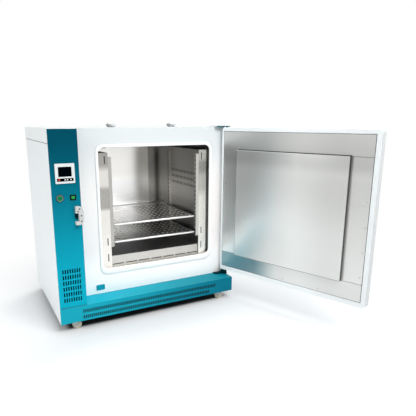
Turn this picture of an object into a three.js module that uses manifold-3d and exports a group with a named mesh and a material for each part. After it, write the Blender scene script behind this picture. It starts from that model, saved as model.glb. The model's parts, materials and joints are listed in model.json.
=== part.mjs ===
import * as THREE from 'three';
import { mergeVertices } from 'three/addons/utils/BufferGeometryUtils.js';
import Module from 'manifold-3d';

const wasm = await Module();
wasm.setup();

// A laboratory drying oven on casters, in millimetres, +Z up.
// The front faces -Y. While it is being built, X starts at the cabinet's left side, Y at the
// control column's face and Z at the floor; the last lines move it to its own origin.

// Driving dimensions of the cabinet, from the inside out
const chamberWidth = 538;
const chamberHeight = 533;
const chamberDepth = 426;
const leftWall = 103.5;
const rightWall = 84.5;
const topWall = 81;
const bottomWall = 112;
const backWall = 60;
const columnWidth = 112;
const stepDepth = 94;
const baseHeight = 69;
const floorGap = 45;
const roofFlange = 55;
const outerSheet = 1.5;
const innerSheet = 1.2;
const sheetFold = 14;
const fitGap = 0.3;
const cutOverrun = 2;
const joinLap = 1;

// Places that follow from them
const cabinetWidth = columnWidth + leftWall + chamberWidth + rightWall;
const cabinetDepth = stepDepth + chamberDepth + backWall;
const skirtBottom = floorGap;
const ledgeTop = skirtBottom + baseHeight;
const chamberFloor = ledgeTop + bottomWall;
const chamberTop = chamberFloor + chamberHeight;
const roofTop = chamberTop + topWall;
const chamberLeft = columnWidth + leftWall;
const chamberRight = chamberLeft + chamberWidth;
const chamberMiddle = (chamberLeft + chamberRight) / 2;
const panelFace = stepDepth;
const panelBack = panelFace + outerSheet;
const chamberBack = panelFace + chamberDepth;

// Mouth and its seal
const mouthRadius = 26;
const gasketWidth = 13;
const gasketBottomWidth = 28;
const gasketRadius = 36;
const gasketHeight = 6;
const gasketBevel = 2.5;

// Vents in the column and the base
const slotWidth = 4.4;
const columnSlotHeight = 17.5;
const columnSlotPitch = 9.64;
const columnSlotColumns = 8;
const columnSlotRows = 6;
const columnRowPitch = 24.8;
const columnSlotsAboveLedge = 26;
const baseSlotHeight = 15;
const baseSlotPitch = 8.8;
const baseSlotMargin = 94.5;
const baseRowPitch = 26;
const baseLowRowHeight = 17;
const lowRowShortBy = 4;

// Controls on the column
const controlOffset = 25.5;
const controllerWidth = 75;
const controllerHeight = 77;
const controllerDepth = 70;
const controllerBelowRoof = 131;
const controllerRadius = 3;
const bezelProud = 4;
const bezelBackInset = 4;
const screenWidth = 51;
const screenHeight = 37.5;
const screenBelowTop = 13;
const stripWidth = 63;
const stripHeight = 11.5;
const stripAboveBottom = 8.3;
const windowRecess = 1;
const insertDepth = 6;
const redKeyRadius = 4.2;
const whiteKeyRadius = 2.3;
const keyLift = 1.6;
const keyLength = 6;
const keyPlaceShares = [-0.37, -0.01, 0.135, 0.345];
const switchesBelowController = 57;
const buttonRingRadius = 14.8;
const buttonBarrelRadius = 11;
const buttonCapRadius = 9.2;
const buttonRingHeight = 5;
const buttonBarrelLength = 38;
const buttonCapLift = 2;
const buttonTravel = 3;
const buttonCapLength = 16;
const rockerWidth = 24;
const rockerHeight = 22.5;
const rockerRim = 3;
const rockerProud = 2;
const rockerBodyDepth = 24;
const rockerBodyInset = 2;
const rockerPivotDepth = 3;
const rockerPaddleRise = 2.4;
const rockerBackShare = 1 / 3;

// Latch keeper on the column and the handle that reaches it
const keeperWidth = 33;
const keeperHeight = 75;
const keeperPlate = 3;
const keeperOverhang = 5;
const keeperGap = 11;
const keeperLip = 4.7;
const keeperTopBlock = 27;
const keeperLipWidth = 20;
const keeperFoot = 14;
const keeperAboveLedge = 351;

// Door, drawn closed and turned open in its own group
const doorThickness = 46;
const doorColumnGap = 4.4;
const doorOverhang = 8;
const doorBottomGap = 27.5;
const doorTopGap = 2.3;
const doorCorner = 12;
const doorEdge = 7;
const doorFlange = 30;
const doorOpenAngle = 109.8;
const doorLinerSideInset = 20.5;
const doorLinerHingeInset = 13;
const doorLinerBottomInset = 23.8;
const doorLinerTopInset = 18.7;
const plugDepth = 18;
const plugSideClearance = 4.5;
const plugBottomClearance = 11;
const plugTopClearance = 21;
const plugSeat = 6;
const plugEdge = 1.5;
const plugCorner = 8;
const hingePinInset = 4;
const hingePinSetback = 28;
const hingePinRadius = 6;
const hingePinReach = 22;
const hingePlate = 4;
const hingePlateWidth = 66;
const hingePlateReach = 46;
const hingeNoseRadius = 14;
const hingeBossRadius = 12;
const hingeGussetWidth = 5;
const hingePocketWidth = 34;

// Handle on the door's outer face
const handlePivotInset = 40;
const handlePlateWidth = 46;
const handlePlateHeight = 150;
const handlePlateThickness = 7;
const handlePlateRadius = 10;
const handleBossRadius = 19;
const hubRadius = 13;
const hubFront = 14;
const tongueLength = 61;
const tongueHalfWidth = 8;
const gripLength = 132;
const gripHalfWidth = 11;
const gripThickness = 12;
const gripEdge = 3;

// Chamber fittings
const ductWidth = 46;
const ductSetback = 16;
const ductTopGap = 24;
const ductSlotWidth = 4;
const ductSlotLength = 30;
const ductSlotRows = 4;
const ductSlotRowPitch = 24;
const ductSlotsPerRow = 6;
const ductSlotsAboveFloor = 300;
const ductSlotsSetback = 50;
const ductSlotsBackGap = 70;
const uprightDepth = 14.5;
const uprightWidth = 20;
const uprightFoot = 93;
const uprightHeadGap = 42;
const uprightSlotWidth = 5;
const uprightSlotHeight = 12;
const uprightSlotPitch = 40;
const rearUprightBackGap = 86;
const floorCoverHeight = 47;
const floorCoverSetback = 24;
const floorCoverBackGap = 4;
const upperShelfHeight = 195;
const lowerShelfHeight = 115;
const shelfSetback = 24;
const shelfBackGap = 22;
const shelfLip = 8;
const shelfSideGap = 0.5;
const shelfSlotLength = 40;
const shelfSlotWidth = 8;
const shelfSlotRows = 4;
const shelfSlotsPerRow = 6;
const shelfSlotMargin = 36;
const railWidth = 12;
const railHeight = 14;

// Heater, fan and probe
const heaterRadius = 5;
const heaterFrontSetback = 110;
const heaterLegSpacing = 200;
const heaterHeight = 22;
const heaterRightGap = 150;
const fanSetback = 236;
const fanHeight = 290;
const motorRadius = 40;
const motorLength = 68;
const shaftRadius = 5;
const shaftHoleRadius = 7;
const wheelRadius = 72;
const wheelWidth = 26;
const wheelPlate = 2;
const wheelBladeCount = 9;
const wheelBladeThickness = 2.5;
const wheelHubRadius = 14;
const wheelRingWidth = 26;
const wheelSideGap = 8;
const probeRadius = 3;
const probeNutRadius = 7;
const probeNutLength = 8;
const probeReach = 90;
const probeBelowTop = 12;
const probeSetback = 180;

// Roof vents
const ventSetback = 171;
const ventOffset = 152;
const ventTubeRadius = 13;
const ventBoreRadius = 10;
const ventCapRadius = 22;
const ventCapHeight = 12;
const ventCapStand = 4;
const ventRim = 3;
const ventTabLength = 7;
const ventTabWidth = 5;
const ventReach = 3;

// Underframe and casters
const framePlate = 3;
const frameRise = 21;
const frameInset = 6;
const saddleWidth = 44;
const saddleSheet = 2;
const saddleInset = 120;
const frameStandGap = 25;
const casterInset = 64;
const casterTurn = -27.5;
const casterSetback = 42;
const casterTrail = 10;
const casterWheelRadius = 20;
const casterWheelWidth = 16;
const casterWheelCrown = 3;
const casterAxleRadius = 3;
const casterHeadRadius = 19;
const casterHeadHeight = 4;
const casterLeg = 2.5;
const casterLegGap = 1;
const casterLegWidth = 14;
const casterPinRadius = 5;

// Mains inlet on the back
const inletHeight = 60;
const inletFromLeft = 56;
const inletNutRadius = 14;
const inletBoreRadius = 5;
const inletFlangeRadius = 18;
const inletFlange = 4;
const inletLength = 22;
const inletShank = 10;

// Round pieces are drawn with this many sides
const roundSides = 24;
const middleSides = 16;
const fineSides = 10;
const nutSides = 6;
const cornerSteps = 3;
const bevelSteps = 2;
const paddleSteps = 6;
const heaterBends = 8;

const degree = Math.PI / 180;
const axisX = new THREE.Vector3(1, 0, 0);
const axisY = new THREE.Vector3(0, 1, 0);
const axisZ = new THREE.Vector3(0, 0, 1);

// Solids from three.js geometry
function solidOf(geometry) {
  geometry.deleteAttribute('normal');
  geometry.deleteAttribute('uv');
  const merged = mergeVertices(geometry);
  return new wasm.Manifold(new wasm.Mesh({
    numProp: 3,
    vertProperties: new Float32Array(merged.attributes.position.array),
    triVerts: new Uint32Array(merged.index.array),
  }));
}

function geometryOf(solid) {
  const mesh = solid.getMesh();
  const geometry = new THREE.BufferGeometry();
  geometry.setAttribute('position', new THREE.BufferAttribute(mesh.vertProperties, 3));
  geometry.setIndex(new THREE.BufferAttribute(mesh.triVerts, 1));
  geometry.computeVertexNormals();
  return geometry;
}

function block([x0, x1], [y0, y1], [z0, z1]) {
  const geometry = new THREE.BoxGeometry(x1 - x0, y1 - y0, z1 - z0);
  geometry.translate((x0 + x1) / 2, (y0 + y1) / 2, (z0 + z1) / 2);
  return solidOf(geometry);
}

function joined(solids) {
  return solids.reduce((sum, next) => sum.add(next));
}

function without(solid, cutters) {
  return cutters.length ? solid.subtract(joined(cutters)) : solid;
}

// Outlines in the XZ plane, pushed back along Y from front to back
function pushedBack(shape, [front, back], options = {}) {
  const bevel = options.bevel ?? 0;
  const geometry = new THREE.ExtrudeGeometry(shape, {
    depth: back - front - bevel,
    bevelEnabled: bevel > 0,
    bevelThickness: bevel,
    bevelSize: bevel,
    bevelOffset: -bevel,
    bevelSegments: bevelSteps,
    curveSegments: options.steps ?? cornerSteps,
  });
  geometry.applyMatrix4(new THREE.Matrix4().makeBasis(axisX, axisZ, axisY.clone().negate()));
  geometry.translate(0, back, 0);
  const solid = solidOf(geometry);
  const reach = Math.abs(front) + Math.abs(back) + cabinetWidth + cabinetDepth + roofTop;
  return bevel > 0 ? solid.intersect(block([-reach, reach], [front, back], [-reach, reach])) : solid;
}

function roundedRectangle([x0, x1], [z0, z1], radius) {
  const shape = new THREE.Shape();
  shape.moveTo(x0 + radius, z0);
  shape.lineTo(x1 - radius, z0);
  shape.absarc(x1 - radius, z0 + radius, radius, -Math.PI / 2, 0);
  shape.lineTo(x1, z1 - radius);
  shape.absarc(x1 - radius, z1 - radius, radius, 0, Math.PI / 2);
  shape.lineTo(x0 + radius, z1);
  shape.absarc(x0 + radius, z1 - radius, radius, Math.PI / 2, Math.PI);
  shape.lineTo(x0, z0 + radius);
  shape.absarc(x0 + radius, z0 + radius, radius, Math.PI, Math.PI * 1.5);
  return shape;
}

// Round bars along each axis
function barAlong(axis, radius, [from, to], [a, b], sides = roundSides) {
  const geometry = new THREE.CylinderGeometry(radius, radius, to - from, sides);
  const middle = (from + to) / 2;
  if (axis === 'x') {
    geometry.rotateZ(Math.PI / 2);
    geometry.translate(middle, a, b);
  } else if (axis === 'y') {
    geometry.translate(a, middle, b);
  } else {
    geometry.rotateX(Math.PI / 2);
    geometry.translate(a, b, middle);
  }
  return solidOf(geometry);
}

// A profile of [radius, height] points turned about Z
function turned(points, sides = roundSides) {
  const profile = points.map(([radius, height]) => new THREE.Vector2(radius, height));
  const geometry = new THREE.LatheGeometry([...profile, profile[0].clone()], sides);
  geometry.rotateX(Math.PI / 2);
  return solidOf(geometry);
}

// A box of sheet, left open on the named sides
function boxWalls([x0, x1], [y0, y1], [z0, z1], sheet, open) {
  const grow = { left: 0, right: 0, front: 0, back: 0, bottom: 0, top: 0 };
  open.forEach((side) => {
    grow[side] = sheet + cutOverrun;
  });
  const inner = block(
    [x0 + sheet - grow.left, x1 - sheet + grow.right],
    [y0 + sheet - grow.front, y1 - sheet + grow.back],
    [z0 + sheet - grow.bottom, z1 - sheet + grow.top],
  );
  return block([x0, x1], [y0, y1], [z0, z1]).subtract(inner);
}

// Finishes
function finish(color, roughness, metalness) {
  return () => new THREE.MeshStandardMaterial({ color, roughness, metalness });
}
const tealPaint = finish('#1397b4', 0.35, 0);
const whitePaint = finish('#eef3f5', 0.4, 0);
const stainless = finish('#b9bab6', 0.3, 1);
const zincSteel = finish('#9a9d9f', 0.5, 1);
const chrome = finish('#c9ccce', 0.12, 1);
const whiteRubber = finish('#f4f4f1', 0.6, 0);
const mineralWool = finish('#cfc7a6', 0.95, 0);
const blackPlastic = finish('#15171a', 0.35, 0);
const whitePlastic = finish('#f1f2f0', 0.4, 0);
const redPlastic = finish('#c8202a', 0.4, 0);
const greenPlastic = finish('#1f9a55', 0.35, 0);
const greyPlastic = finish('#8d9190', 0.5, 0);
const casterWheelPlastic = finish('#d8d3bd', 0.45, 0);
const heaterSheath = finish('#6d655c', 0.5, 1);
const motorPaint = finish('#4b5054', 0.5, 0.4);

const oven = new THREE.Group();
oven.name = 'drying_oven';

function place(parent, name, solid, material, position = [0, 0, 0], turn = 0) {
  const mesh = new THREE.Mesh(geometryOf(solid), material());
  mesh.name = name;
  mesh.position.set(...position);
  mesh.rotation.z = turn;
  parent.add(mesh);
  return mesh;
}

// Sheet-metal case
function columnSlots() {
  const middle = columnWidth / 2;
  const span = (columnSlotColumns - 1) * columnSlotPitch;
  const slots = [];
  for (let row = 0; row < columnSlotRows; row += 1) {
    for (let column = 0; column < columnSlotColumns; column += 1) {
      const x = middle - span / 2 + column * columnSlotPitch;
      const z = ledgeTop + columnSlotsAboveLedge + row * columnRowPitch;
      slots.push(block(
        [x - slotWidth / 2, x + slotWidth / 2],
        [-cutOverrun, outerSheet + cutOverrun],
        [z, z + columnSlotHeight],
      ));
    }
  }
  return slots;
}

const controllerTop = roofTop - controllerBelowRoof;
const controllerBottom = controllerTop - controllerHeight;
const controllerLeft = (columnWidth - controllerWidth) / 2;
const controllerRight = controllerLeft + controllerWidth;
const switchHeight = controllerBottom - switchesBelowController;
const buttonX = columnWidth / 2 - controlOffset;
const rockerX = columnWidth / 2 + controlOffset;
const controllerHole = {
  x: [controllerLeft + bezelBackInset, controllerRight - bezelBackInset],
  z: [controllerBottom + bezelBackInset, controllerTop - bezelBackInset],
};
const rockerHole = {
  x: [rockerX - rockerWidth / 2 + rockerBodyInset, rockerX + rockerWidth / 2 - rockerBodyInset],
  z: [switchHeight - rockerHeight / 2 + rockerBodyInset, switchHeight + rockerHeight / 2 - rockerBodyInset],
};

function columnCover() {
  const cover = boxWalls(
    [0, columnWidth],
    [0, stepDepth - fitGap],
    [ledgeTop + fitGap, roofTop - outerSheet - fitGap],
    outerSheet,
    ['left', 'back', 'bottom', 'top'],
  );
  const face = [-cutOverrun, outerSheet + cutOverrun];
  return without(cover, [
    ...columnSlots(),
    block(controllerHole.x, face, controllerHole.z),
    block(rockerHole.x, face, rockerHole.z),
    barAlong('y', buttonBarrelRadius + fitGap, face, [buttonX, switchHeight]),
  ]);
}

function baseSlots() {
  const room = cabinetWidth - 2 * baseSlotMargin - slotWidth;
  const topCount = Math.floor(room / baseSlotPitch) + 1;
  const slots = [];
  [topCount - lowRowShortBy, topCount].forEach((count, row) => {
    const z = skirtBottom + baseLowRowHeight + row * baseRowPitch;
    for (let index = 0; index < count; index += 1) {
      const x = baseSlotMargin + index * baseSlotPitch;
      slots.push(block(
        [x, x + slotWidth],
        [-cutOverrun, outerSheet + cutOverrun],
        [z - baseSlotHeight / 2, z + baseSlotHeight / 2],
      ));
    }
  });
  return slots;
}

function baseCover() {
  const cover = boxWalls(
    [0, cabinetWidth],
    [0, stepDepth - fitGap],
    [skirtBottom, ledgeTop],
    outerSheet,
    ['left', 'back', 'bottom'],
  );
  const columnWell = block(
    [-cutOverrun, columnWidth - outerSheet],
    [outerSheet, stepDepth + cutOverrun],
    [ledgeTop - outerSheet - cutOverrun, ledgeTop + cutOverrun],
  );
  return without(cover, [...baseSlots(), columnWell]);
}

const sideFront = outerSheet + fitGap;
const sideTop = roofTop - roofFlange - fitGap;
const rearFace = cabinetDepth - outerSheet;

function sidePanel(x0, x1, front, open) {
  return boxWalls([x0, x1], [front, rearFace - fitGap], [skirtBottom, sideTop], outerSheet, open);
}

function leftSidePanel() {
  const panel = sidePanel(0, sheetFold, stepDepth, ['right']);
  const wing = block([0, outerSheet], [sideFront, stepDepth + outerSheet], [skirtBottom, sideTop]);
  return panel.add(wing);
}

function rightSidePanel() {
  return sidePanel(cabinetWidth - sheetFold, cabinetWidth, panelBack + fitGap, ['left']);
}

function rearPanel() {
  const hole = barAlong('y', inletShank + fitGap, [rearFace - cutOverrun, cabinetDepth + cutOverrun],
    [inletFromLeft, ledgeTop + inletHeight]);
  return block([0, cabinetWidth], [rearFace, cabinetDepth], [skirtBottom, sideTop]).subtract(hole);
}

const ventPlaces = [-ventOffset, ventOffset].map((offset) => [
  chamberMiddle + offset,
  panelFace + ventSetback,
]);

function topCover() {
  const cover = boxWalls(
    [0, cabinetWidth],
    [0, cabinetDepth],
    [roofTop - roofFlange, roofTop],
    outerSheet,
    ['front', 'bottom'],
  );
  const corner = block(
    [columnWidth, cabinetWidth + cutOverrun],
    [-cutOverrun, panelFace],
    [roofTop - roofFlange - cutOverrun, roofTop + cutOverrun],
  );
  const columnFaceRoom = block(
    [-cutOverrun, outerSheet + cutOverrun],
    [-cutOverrun, outerSheet + fitGap],
    [roofTop - roofFlange - cutOverrun, roofTop - outerSheet],
  );
  const lip = block([columnWidth, cabinetWidth], [panelFace, panelBack], [chamberTop + fitGap, roofTop]);
  const holes = ventPlaces.map((spot) => barAlong('z', ventTubeRadius + fitGap,
    [roofTop - outerSheet - cutOverrun, roofTop + cutOverrun], spot));
  return without(cover, [corner, columnFaceRoom, ...holes]).add(lip);
}

function frontPanel() {
  const sheet = block(
    [columnWidth + fitGap, cabinetWidth],
    [panelFace, panelBack],
    [ledgeTop + fitGap, chamberTop],
  );
  const mouth = pushedBack(
    roundedRectangle([chamberLeft, chamberRight], [chamberFloor, chamberTop], mouthRadius),
    [panelFace - cutOverrun, panelBack + cutOverrun],
  );
  return sheet.subtract(mouth);
}

const partitionLeft = columnWidth + fitGap;
const partitionRight = partitionLeft + outerSheet;
const frameTop = skirtBottom + frameRise + framePlate;
const fanY = panelFace + fanSetback;
const fanZ = chamberFloor + fanHeight;
const heaterLegs = [0, heaterLegSpacing].map((step) => panelFace + heaterFrontSetback + step);
const heaterZ = chamberFloor + heaterHeight;
const probeSpot = [panelFace + probeSetback, chamberTop - probeBelowTop];

function wallCrossings(range) {
  return [
    barAlong('x', shaftHoleRadius, range, [fanY, fanZ], fineSides),
    barAlong('x', probeRadius + fitGap, range, probeSpot, fineSides),
    ...heaterLegs.map((y) => barAlong('x', heaterRadius + fitGap, range, [y, heaterZ], fineSides)),
  ];
}

function bayPartition() {
  const sheet = block(
    [partitionLeft, partitionRight],
    [panelBack + fitGap, rearFace - fitGap],
    [frameTop + fitGap, roofTop - outerSheet - fitGap],
  );
  return without(sheet, wallCrossings([partitionLeft - cutOverrun, partitionRight + cutOverrun]));
}

// Chamber
function chamberLiner() {
  const shell = boxWalls(
    [chamberLeft - innerSheet, chamberRight + innerSheet],
    [panelBack + fitGap, chamberBack + innerSheet],
    [chamberFloor - innerSheet, chamberTop + innerSheet],
    innerSheet,
    ['front'],
  );
  const vents = ventPlaces.map((spot) => barAlong('z', ventTubeRadius + fitGap,
    [chamberTop - cutOverrun, chamberTop + innerSheet + cutOverrun], spot));
  const crossings = wallCrossings([chamberLeft - innerSheet - cutOverrun, chamberLeft + cutOverrun]);
  return without(shell, [...vents, ...crossings]);
}

const jacketBottom = chamberFloor - bottomWall + frameStandGap + fitGap;
const saddleTop = jacketBottom - fitGap;

function insulationJacket() {
  const wool = block(
    [partitionRight + fitGap, cabinetWidth - sheetFold - fitGap],
    [panelBack + fitGap, rearFace - fitGap],
    [jacketBottom, roofTop - outerSheet - fitGap],
  );
  const around = innerSheet + fitGap;
  const cavity = block(
    [chamberLeft - around, chamberRight + around],
    [panelBack - cutOverrun, chamberBack + around],
    [chamberFloor - around, chamberTop + around],
  );
  const flangeRoom = block(
    [cabinetWidth - sheetFold - fitGap - cutOverrun, cabinetWidth],
    [panelBack, cabinetDepth],
    [jacketBottom - cutOverrun, roofTop],
  );
  const vents = ventPlaces.map((spot) => barAlong('z', ventTubeRadius + fitGap,
    [chamberTop - cutOverrun, roofTop], spot));
  const crossings = wallCrossings([partitionRight - cutOverrun, chamberLeft]);
  return without(wool, [cavity, flangeRoom, ...vents, ...crossings]);
}

function mouthGasket() {
  const outside = roundedRectangle(
    [chamberLeft - gasketWidth, chamberRight + gasketWidth],
    [chamberFloor - gasketBottomWidth, chamberTop + gasketWidth],
    gasketRadius,
  );
  const front = panelFace - gasketHeight - fitGap;
  const back = panelFace - fitGap;
  const ring = pushedBack(outside, [front, back], { bevel: gasketBevel });
  const inside = pushedBack(
    roundedRectangle([chamberLeft, chamberRight], [chamberFloor, chamberTop], mouthRadius),
    [front - cutOverrun, back + cutOverrun],
  );
  return ring.subtract(inside);
}

const ductFront = panelFace + ductSetback;
const ductInner = ductWidth + innerSheet;
const ductTop = chamberTop - ductTopGap;
const floorCoverTop = chamberFloor + floorCoverHeight;
const chamberInsideBack = chamberBack - fitGap;

const ductSlotsFront = ductFront + ductSlotsSetback;
const ductSlotsRoom = chamberBack - ductSlotsBackGap - ductSlotLength - ductSlotsFront;
const ductSlotPitch = ductSlotsRoom / (ductSlotsPerRow - 1);

// Drawn for the left wall, with X counted from the chamber's side
function duct() {
  const wall = block([ductWidth, ductInner], [ductFront, chamberInsideBack],
    [floorCoverTop + fitGap, ductTop]);
  const face = block([fitGap, ductInner], [ductFront, ductFront + innerSheet],
    [chamberFloor + fitGap, ductTop]);
  const cap = block([fitGap, ductInner], [ductFront, chamberInsideBack], [ductTop - innerSheet, ductTop]);
  const slots = [];
  for (let row = 0; row < ductSlotRows; row += 1) {
    for (let index = 0; index < ductSlotsPerRow; index += 1) {
      const y = ductSlotsFront + index * ductSlotPitch;
      const z = chamberFloor + ductSlotsAboveFloor + row * ductSlotRowPitch;
      slots.push(block(
        [ductWidth - cutOverrun, ductInner + cutOverrun],
        [y, y + ductSlotLength],
        [z, z + ductSlotWidth],
      ));
    }
  }
  return without(joined([wall, face, cap]), slots);
}

function mirrored(solid) {
  const geometry = geometryOf(solid);
  geometry.scale(-1, 1, 1);
  const index = geometry.index.array;
  for (let corner = 0; corner < index.length; corner += 3) {
    [index[corner + 1], index[corner + 2]] = [index[corner + 2], index[corner + 1]];
  }
  return solidOf(geometry);
}

const uprightOuter = ductInner + fitGap;
const uprightInner = uprightOuter + uprightDepth;
const uprightHeight = chamberHeight - uprightFoot - uprightHeadGap;

// A slotted channel, open towards the duct, drawn from its lower front corner
function shelfUpright() {
  const channel = boxWalls([0, uprightDepth], [0, uprightWidth], [0, uprightHeight], innerSheet,
    ['left', 'bottom', 'top']);
  const count = Math.floor((uprightHeight - uprightSlotHeight) / uprightSlotPitch);
  const first = (uprightHeight - (count - 1) * uprightSlotPitch - uprightSlotHeight) / 2;
  const slots = [];
  for (let index = 0; index < count; index += 1) {
    const z = first + index * uprightSlotPitch;
    slots.push(block(
      [uprightDepth - innerSheet - cutOverrun, uprightDepth + cutOverrun],
      [(uprightWidth - uprightSlotWidth) / 2, (uprightWidth + uprightSlotWidth) / 2],
      [z, z + uprightSlotHeight],
    ));
  }
  return without(channel, slots);
}

const rearUprightSetback = chamberDepth - rearUprightBackGap - uprightWidth;
const uprightFronts = [ductFront, panelFace + rearUprightSetback];
const railLength = uprightFronts[1] + uprightWidth - ductFront;

// An angle under one edge of a shelf, drawn from its outer lower front corner
function shelfRail() {
  const web = block([0, innerSheet], [0, railLength], [0, railHeight]);
  const foot = block([0, railWidth], [0, railLength], [0, innerSheet]);
  return web.add(foot);
}

const shelfHalf = chamberWidth / 2 - uprightInner - fitGap - innerSheet - shelfSideGap;
const shelfFront = panelFace + shelfSetback;
const shelfDepth = chamberBack - shelfBackGap - shelfFront;

// A tray with its rim turned down, drawn from the middle of its front edge, top face at zero
function shelf() {
  const tray = boxWalls([-shelfHalf, shelfHalf], [0, shelfDepth], [-shelfLip, 0], innerSheet, ['bottom']);
  const stepX = (2 * (shelfHalf - shelfSlotMargin) - shelfSlotLength) / (shelfSlotsPerRow - 1);
  const stepY = (shelfDepth - 2 * shelfSlotMargin - shelfSlotWidth) / (shelfSlotRows - 1);
  const slots = [];
  for (let row = 0; row < shelfSlotRows; row += 1) {
    for (let index = 0; index < shelfSlotsPerRow; index += 1) {
      const x = -shelfHalf + shelfSlotMargin + index * stepX;
      const y = shelfSlotMargin + row * stepY;
      slots.push(block([x, x + shelfSlotLength], [y, y + shelfSlotWidth],
        [-innerSheet - cutOverrun, cutOverrun]));
    }
  }
  return without(tray, slots);
}

function floorCover() {
  const half = chamberWidth / 2 - ductInner - fitGap;
  const front = panelFace + floorCoverSetback;
  const top = block([chamberMiddle - half, chamberMiddle + half], [front, chamberBack - floorCoverBackGap],
    [floorCoverTop - innerSheet, floorCoverTop]);
  const riser = block([chamberMiddle - half, chamberMiddle + half], [front, front + innerSheet],
    [chamberFloor + fitGap, floorCoverTop]);
  return top.add(riser);
}

// Heater, fan and probe
function heater() {
  const turnRadius = heaterLegSpacing / 2;
  const far = chamberRight - heaterRightGap;
  const path = new THREE.CurvePath();
  const point = (x, y) => new THREE.Vector3(x, y, heaterZ);
  const middleY = (heaterLegs[0] + heaterLegs[1]) / 2;
  path.add(new THREE.LineCurve3(point(partitionRight + fitGap, heaterLegs[0]), point(far, heaterLegs[0])));
  for (let step = 0; step < heaterBends; step += 1) {
    const ends = [step, step + 1].map((turn) => {
      const angle = -Math.PI / 2 + (Math.PI * turn) / heaterBends;
      return point(far + turnRadius * Math.cos(angle), middleY + turnRadius * Math.sin(angle));
    });
    path.add(new THREE.LineCurve3(...ends));
  }
  path.add(new THREE.LineCurve3(point(far, heaterLegs[1]), point(partitionRight + fitGap, heaterLegs[1])));
  return joined(path.curves.map((line) => {
    const run = line.v2.clone().sub(line.v1);
    const geometry = new THREE.CylinderGeometry(heaterRadius, heaterRadius, run.length(), fineSides);
    geometry.translate(0, run.length() / 2, 0);
    geometry.applyQuaternion(new THREE.Quaternion().setFromUnitVectors(axisY, run.normalize()));
    geometry.translate(line.v1.x, line.v1.y, line.v1.z);
    return solidOf(geometry);
  }));
}

function fanMotor() {
  const back = partitionLeft - fitGap;
  const can = barAlong('x', motorRadius, [back - motorLength, back], [fanY, fanZ]);
  const bore = barAlong('x', shaftRadius + fitGap, [back - motorLength / 2, back + cutOverrun], [fanY, fanZ]);
  return can.subtract(bore);
}

// Drawn about its own shaft, which lies along X, with the shaft's motor end at zero
function blowerWheel() {
  const start = motorLength / 2 - fitGap;
  const wheelBack = start + chamberLeft - partitionLeft + wheelSideGap;
  const wheelFront = wheelBack + wheelWidth;
  const parts = [
    barAlong('x', shaftRadius, [0, wheelFront], [0, 0], fineSides),
    barAlong('x', wheelRadius, [wheelBack, wheelBack + wheelPlate], [0, 0]),
    barAlong('x', wheelHubRadius, [wheelBack, wheelFront], [0, 0], fineSides),
  ];
  const ring = barAlong('x', wheelRadius, [wheelFront - wheelPlate, wheelFront], [0, 0]).subtract(
    barAlong('x', wheelRadius - wheelRingWidth, [wheelFront - wheelPlate - cutOverrun,
      wheelFront + cutOverrun], [0, 0]),
  );
  parts.push(ring);
  for (let index = 0; index < wheelBladeCount; index += 1) {
    const blade = new THREE.BoxGeometry(wheelWidth, wheelRingWidth, wheelBladeThickness);
    blade.translate((wheelBack + wheelFront) / 2, wheelRadius - wheelRingWidth / 2, 0);
    blade.rotateX((index * 2 * Math.PI) / wheelBladeCount);
    parts.push(solidOf(blade));
  }
  return joined(parts);
}

function temperatureProbe() {
  const nutEnd = partitionLeft - fitGap;
  const rod = barAlong('x', probeRadius, [nutEnd - probeNutLength, chamberLeft + probeReach], probeSpot,
    fineSides);
  const nut = barAlong('x', probeNutRadius, [nutEnd - probeNutLength, nutEnd], probeSpot, nutSides);
  return rod.add(nut);
}

// Controls
function controllerBody() {
  const rim = pushedBack(
    roundedRectangle([controllerLeft, controllerRight], [controllerBottom, controllerTop], controllerRadius),
    [-bezelProud, -fitGap],
  );
  const inset = bezelBackInset + fitGap;
  const can = block([controllerLeft + inset, controllerRight - inset],
    [-fitGap - joinLap, controllerDepth], [controllerBottom + inset, controllerTop - inset]);
  const pocket = insertOutline(fitGap, [-bezelProud - cutOverrun, -bezelProud + windowRecess + insertDepth]);
  return rim.add(can).subtract(pocket);
}

const screen = {
  x: [columnWidth / 2 - screenWidth / 2, columnWidth / 2 + screenWidth / 2],
  z: [controllerTop - screenBelowTop - screenHeight, controllerTop - screenBelowTop],
};
const strip = {
  x: [columnWidth / 2 - stripWidth / 2, columnWidth / 2 + stripWidth / 2],
  z: [controllerBottom + stripAboveBottom, controllerBottom + stripAboveBottom + stripHeight],
};
const insertBack = -bezelProud + windowRecess + insertDepth;
const insertLink = insertDepth / 2;
const keys = ['red', 'white', 'white', 'white'].map((kind, index) => ({
  x: columnWidth / 2 + keyPlaceShares[index] * stripWidth,
  z: (strip.z[0] + strip.z[1]) / 2,
  radius: kind === 'red' ? redKeyRadius : whiteKeyRadius,
}));

function grownBy([from, to], extra) {
  return [from - extra, to + extra];
}

// The display and key windows, joined behind the bezel's bar
function insertOutline(extra, range) {
  const linkFront = insertBack - insertLink - extra;
  return joined([
    block(grownBy(screen.x, extra), range, grownBy(screen.z, extra)),
    block(grownBy(strip.x, extra), range, grownBy(strip.z, extra)),
    block(grownBy(screen.x, extra), [linkFront, range[1]], [strip.z[0], screen.z[1]]),
  ]);
}

function displayInsert() {
  const front = -bezelProud + windowRecess;
  const holes = keys.map(({ x, z, radius }) => barAlong('y', radius + fitGap,
    [front - cutOverrun, insertBack + cutOverrun], [x, z], fineSides));
  return without(insertOutline(0, [front, insertBack - fitGap]), holes);
}

// Drawn about its axis, front face at zero
function key(radius) {
  return barAlong('y', radius, [0, keyLength], [0, 0], fineSides);
}

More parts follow.
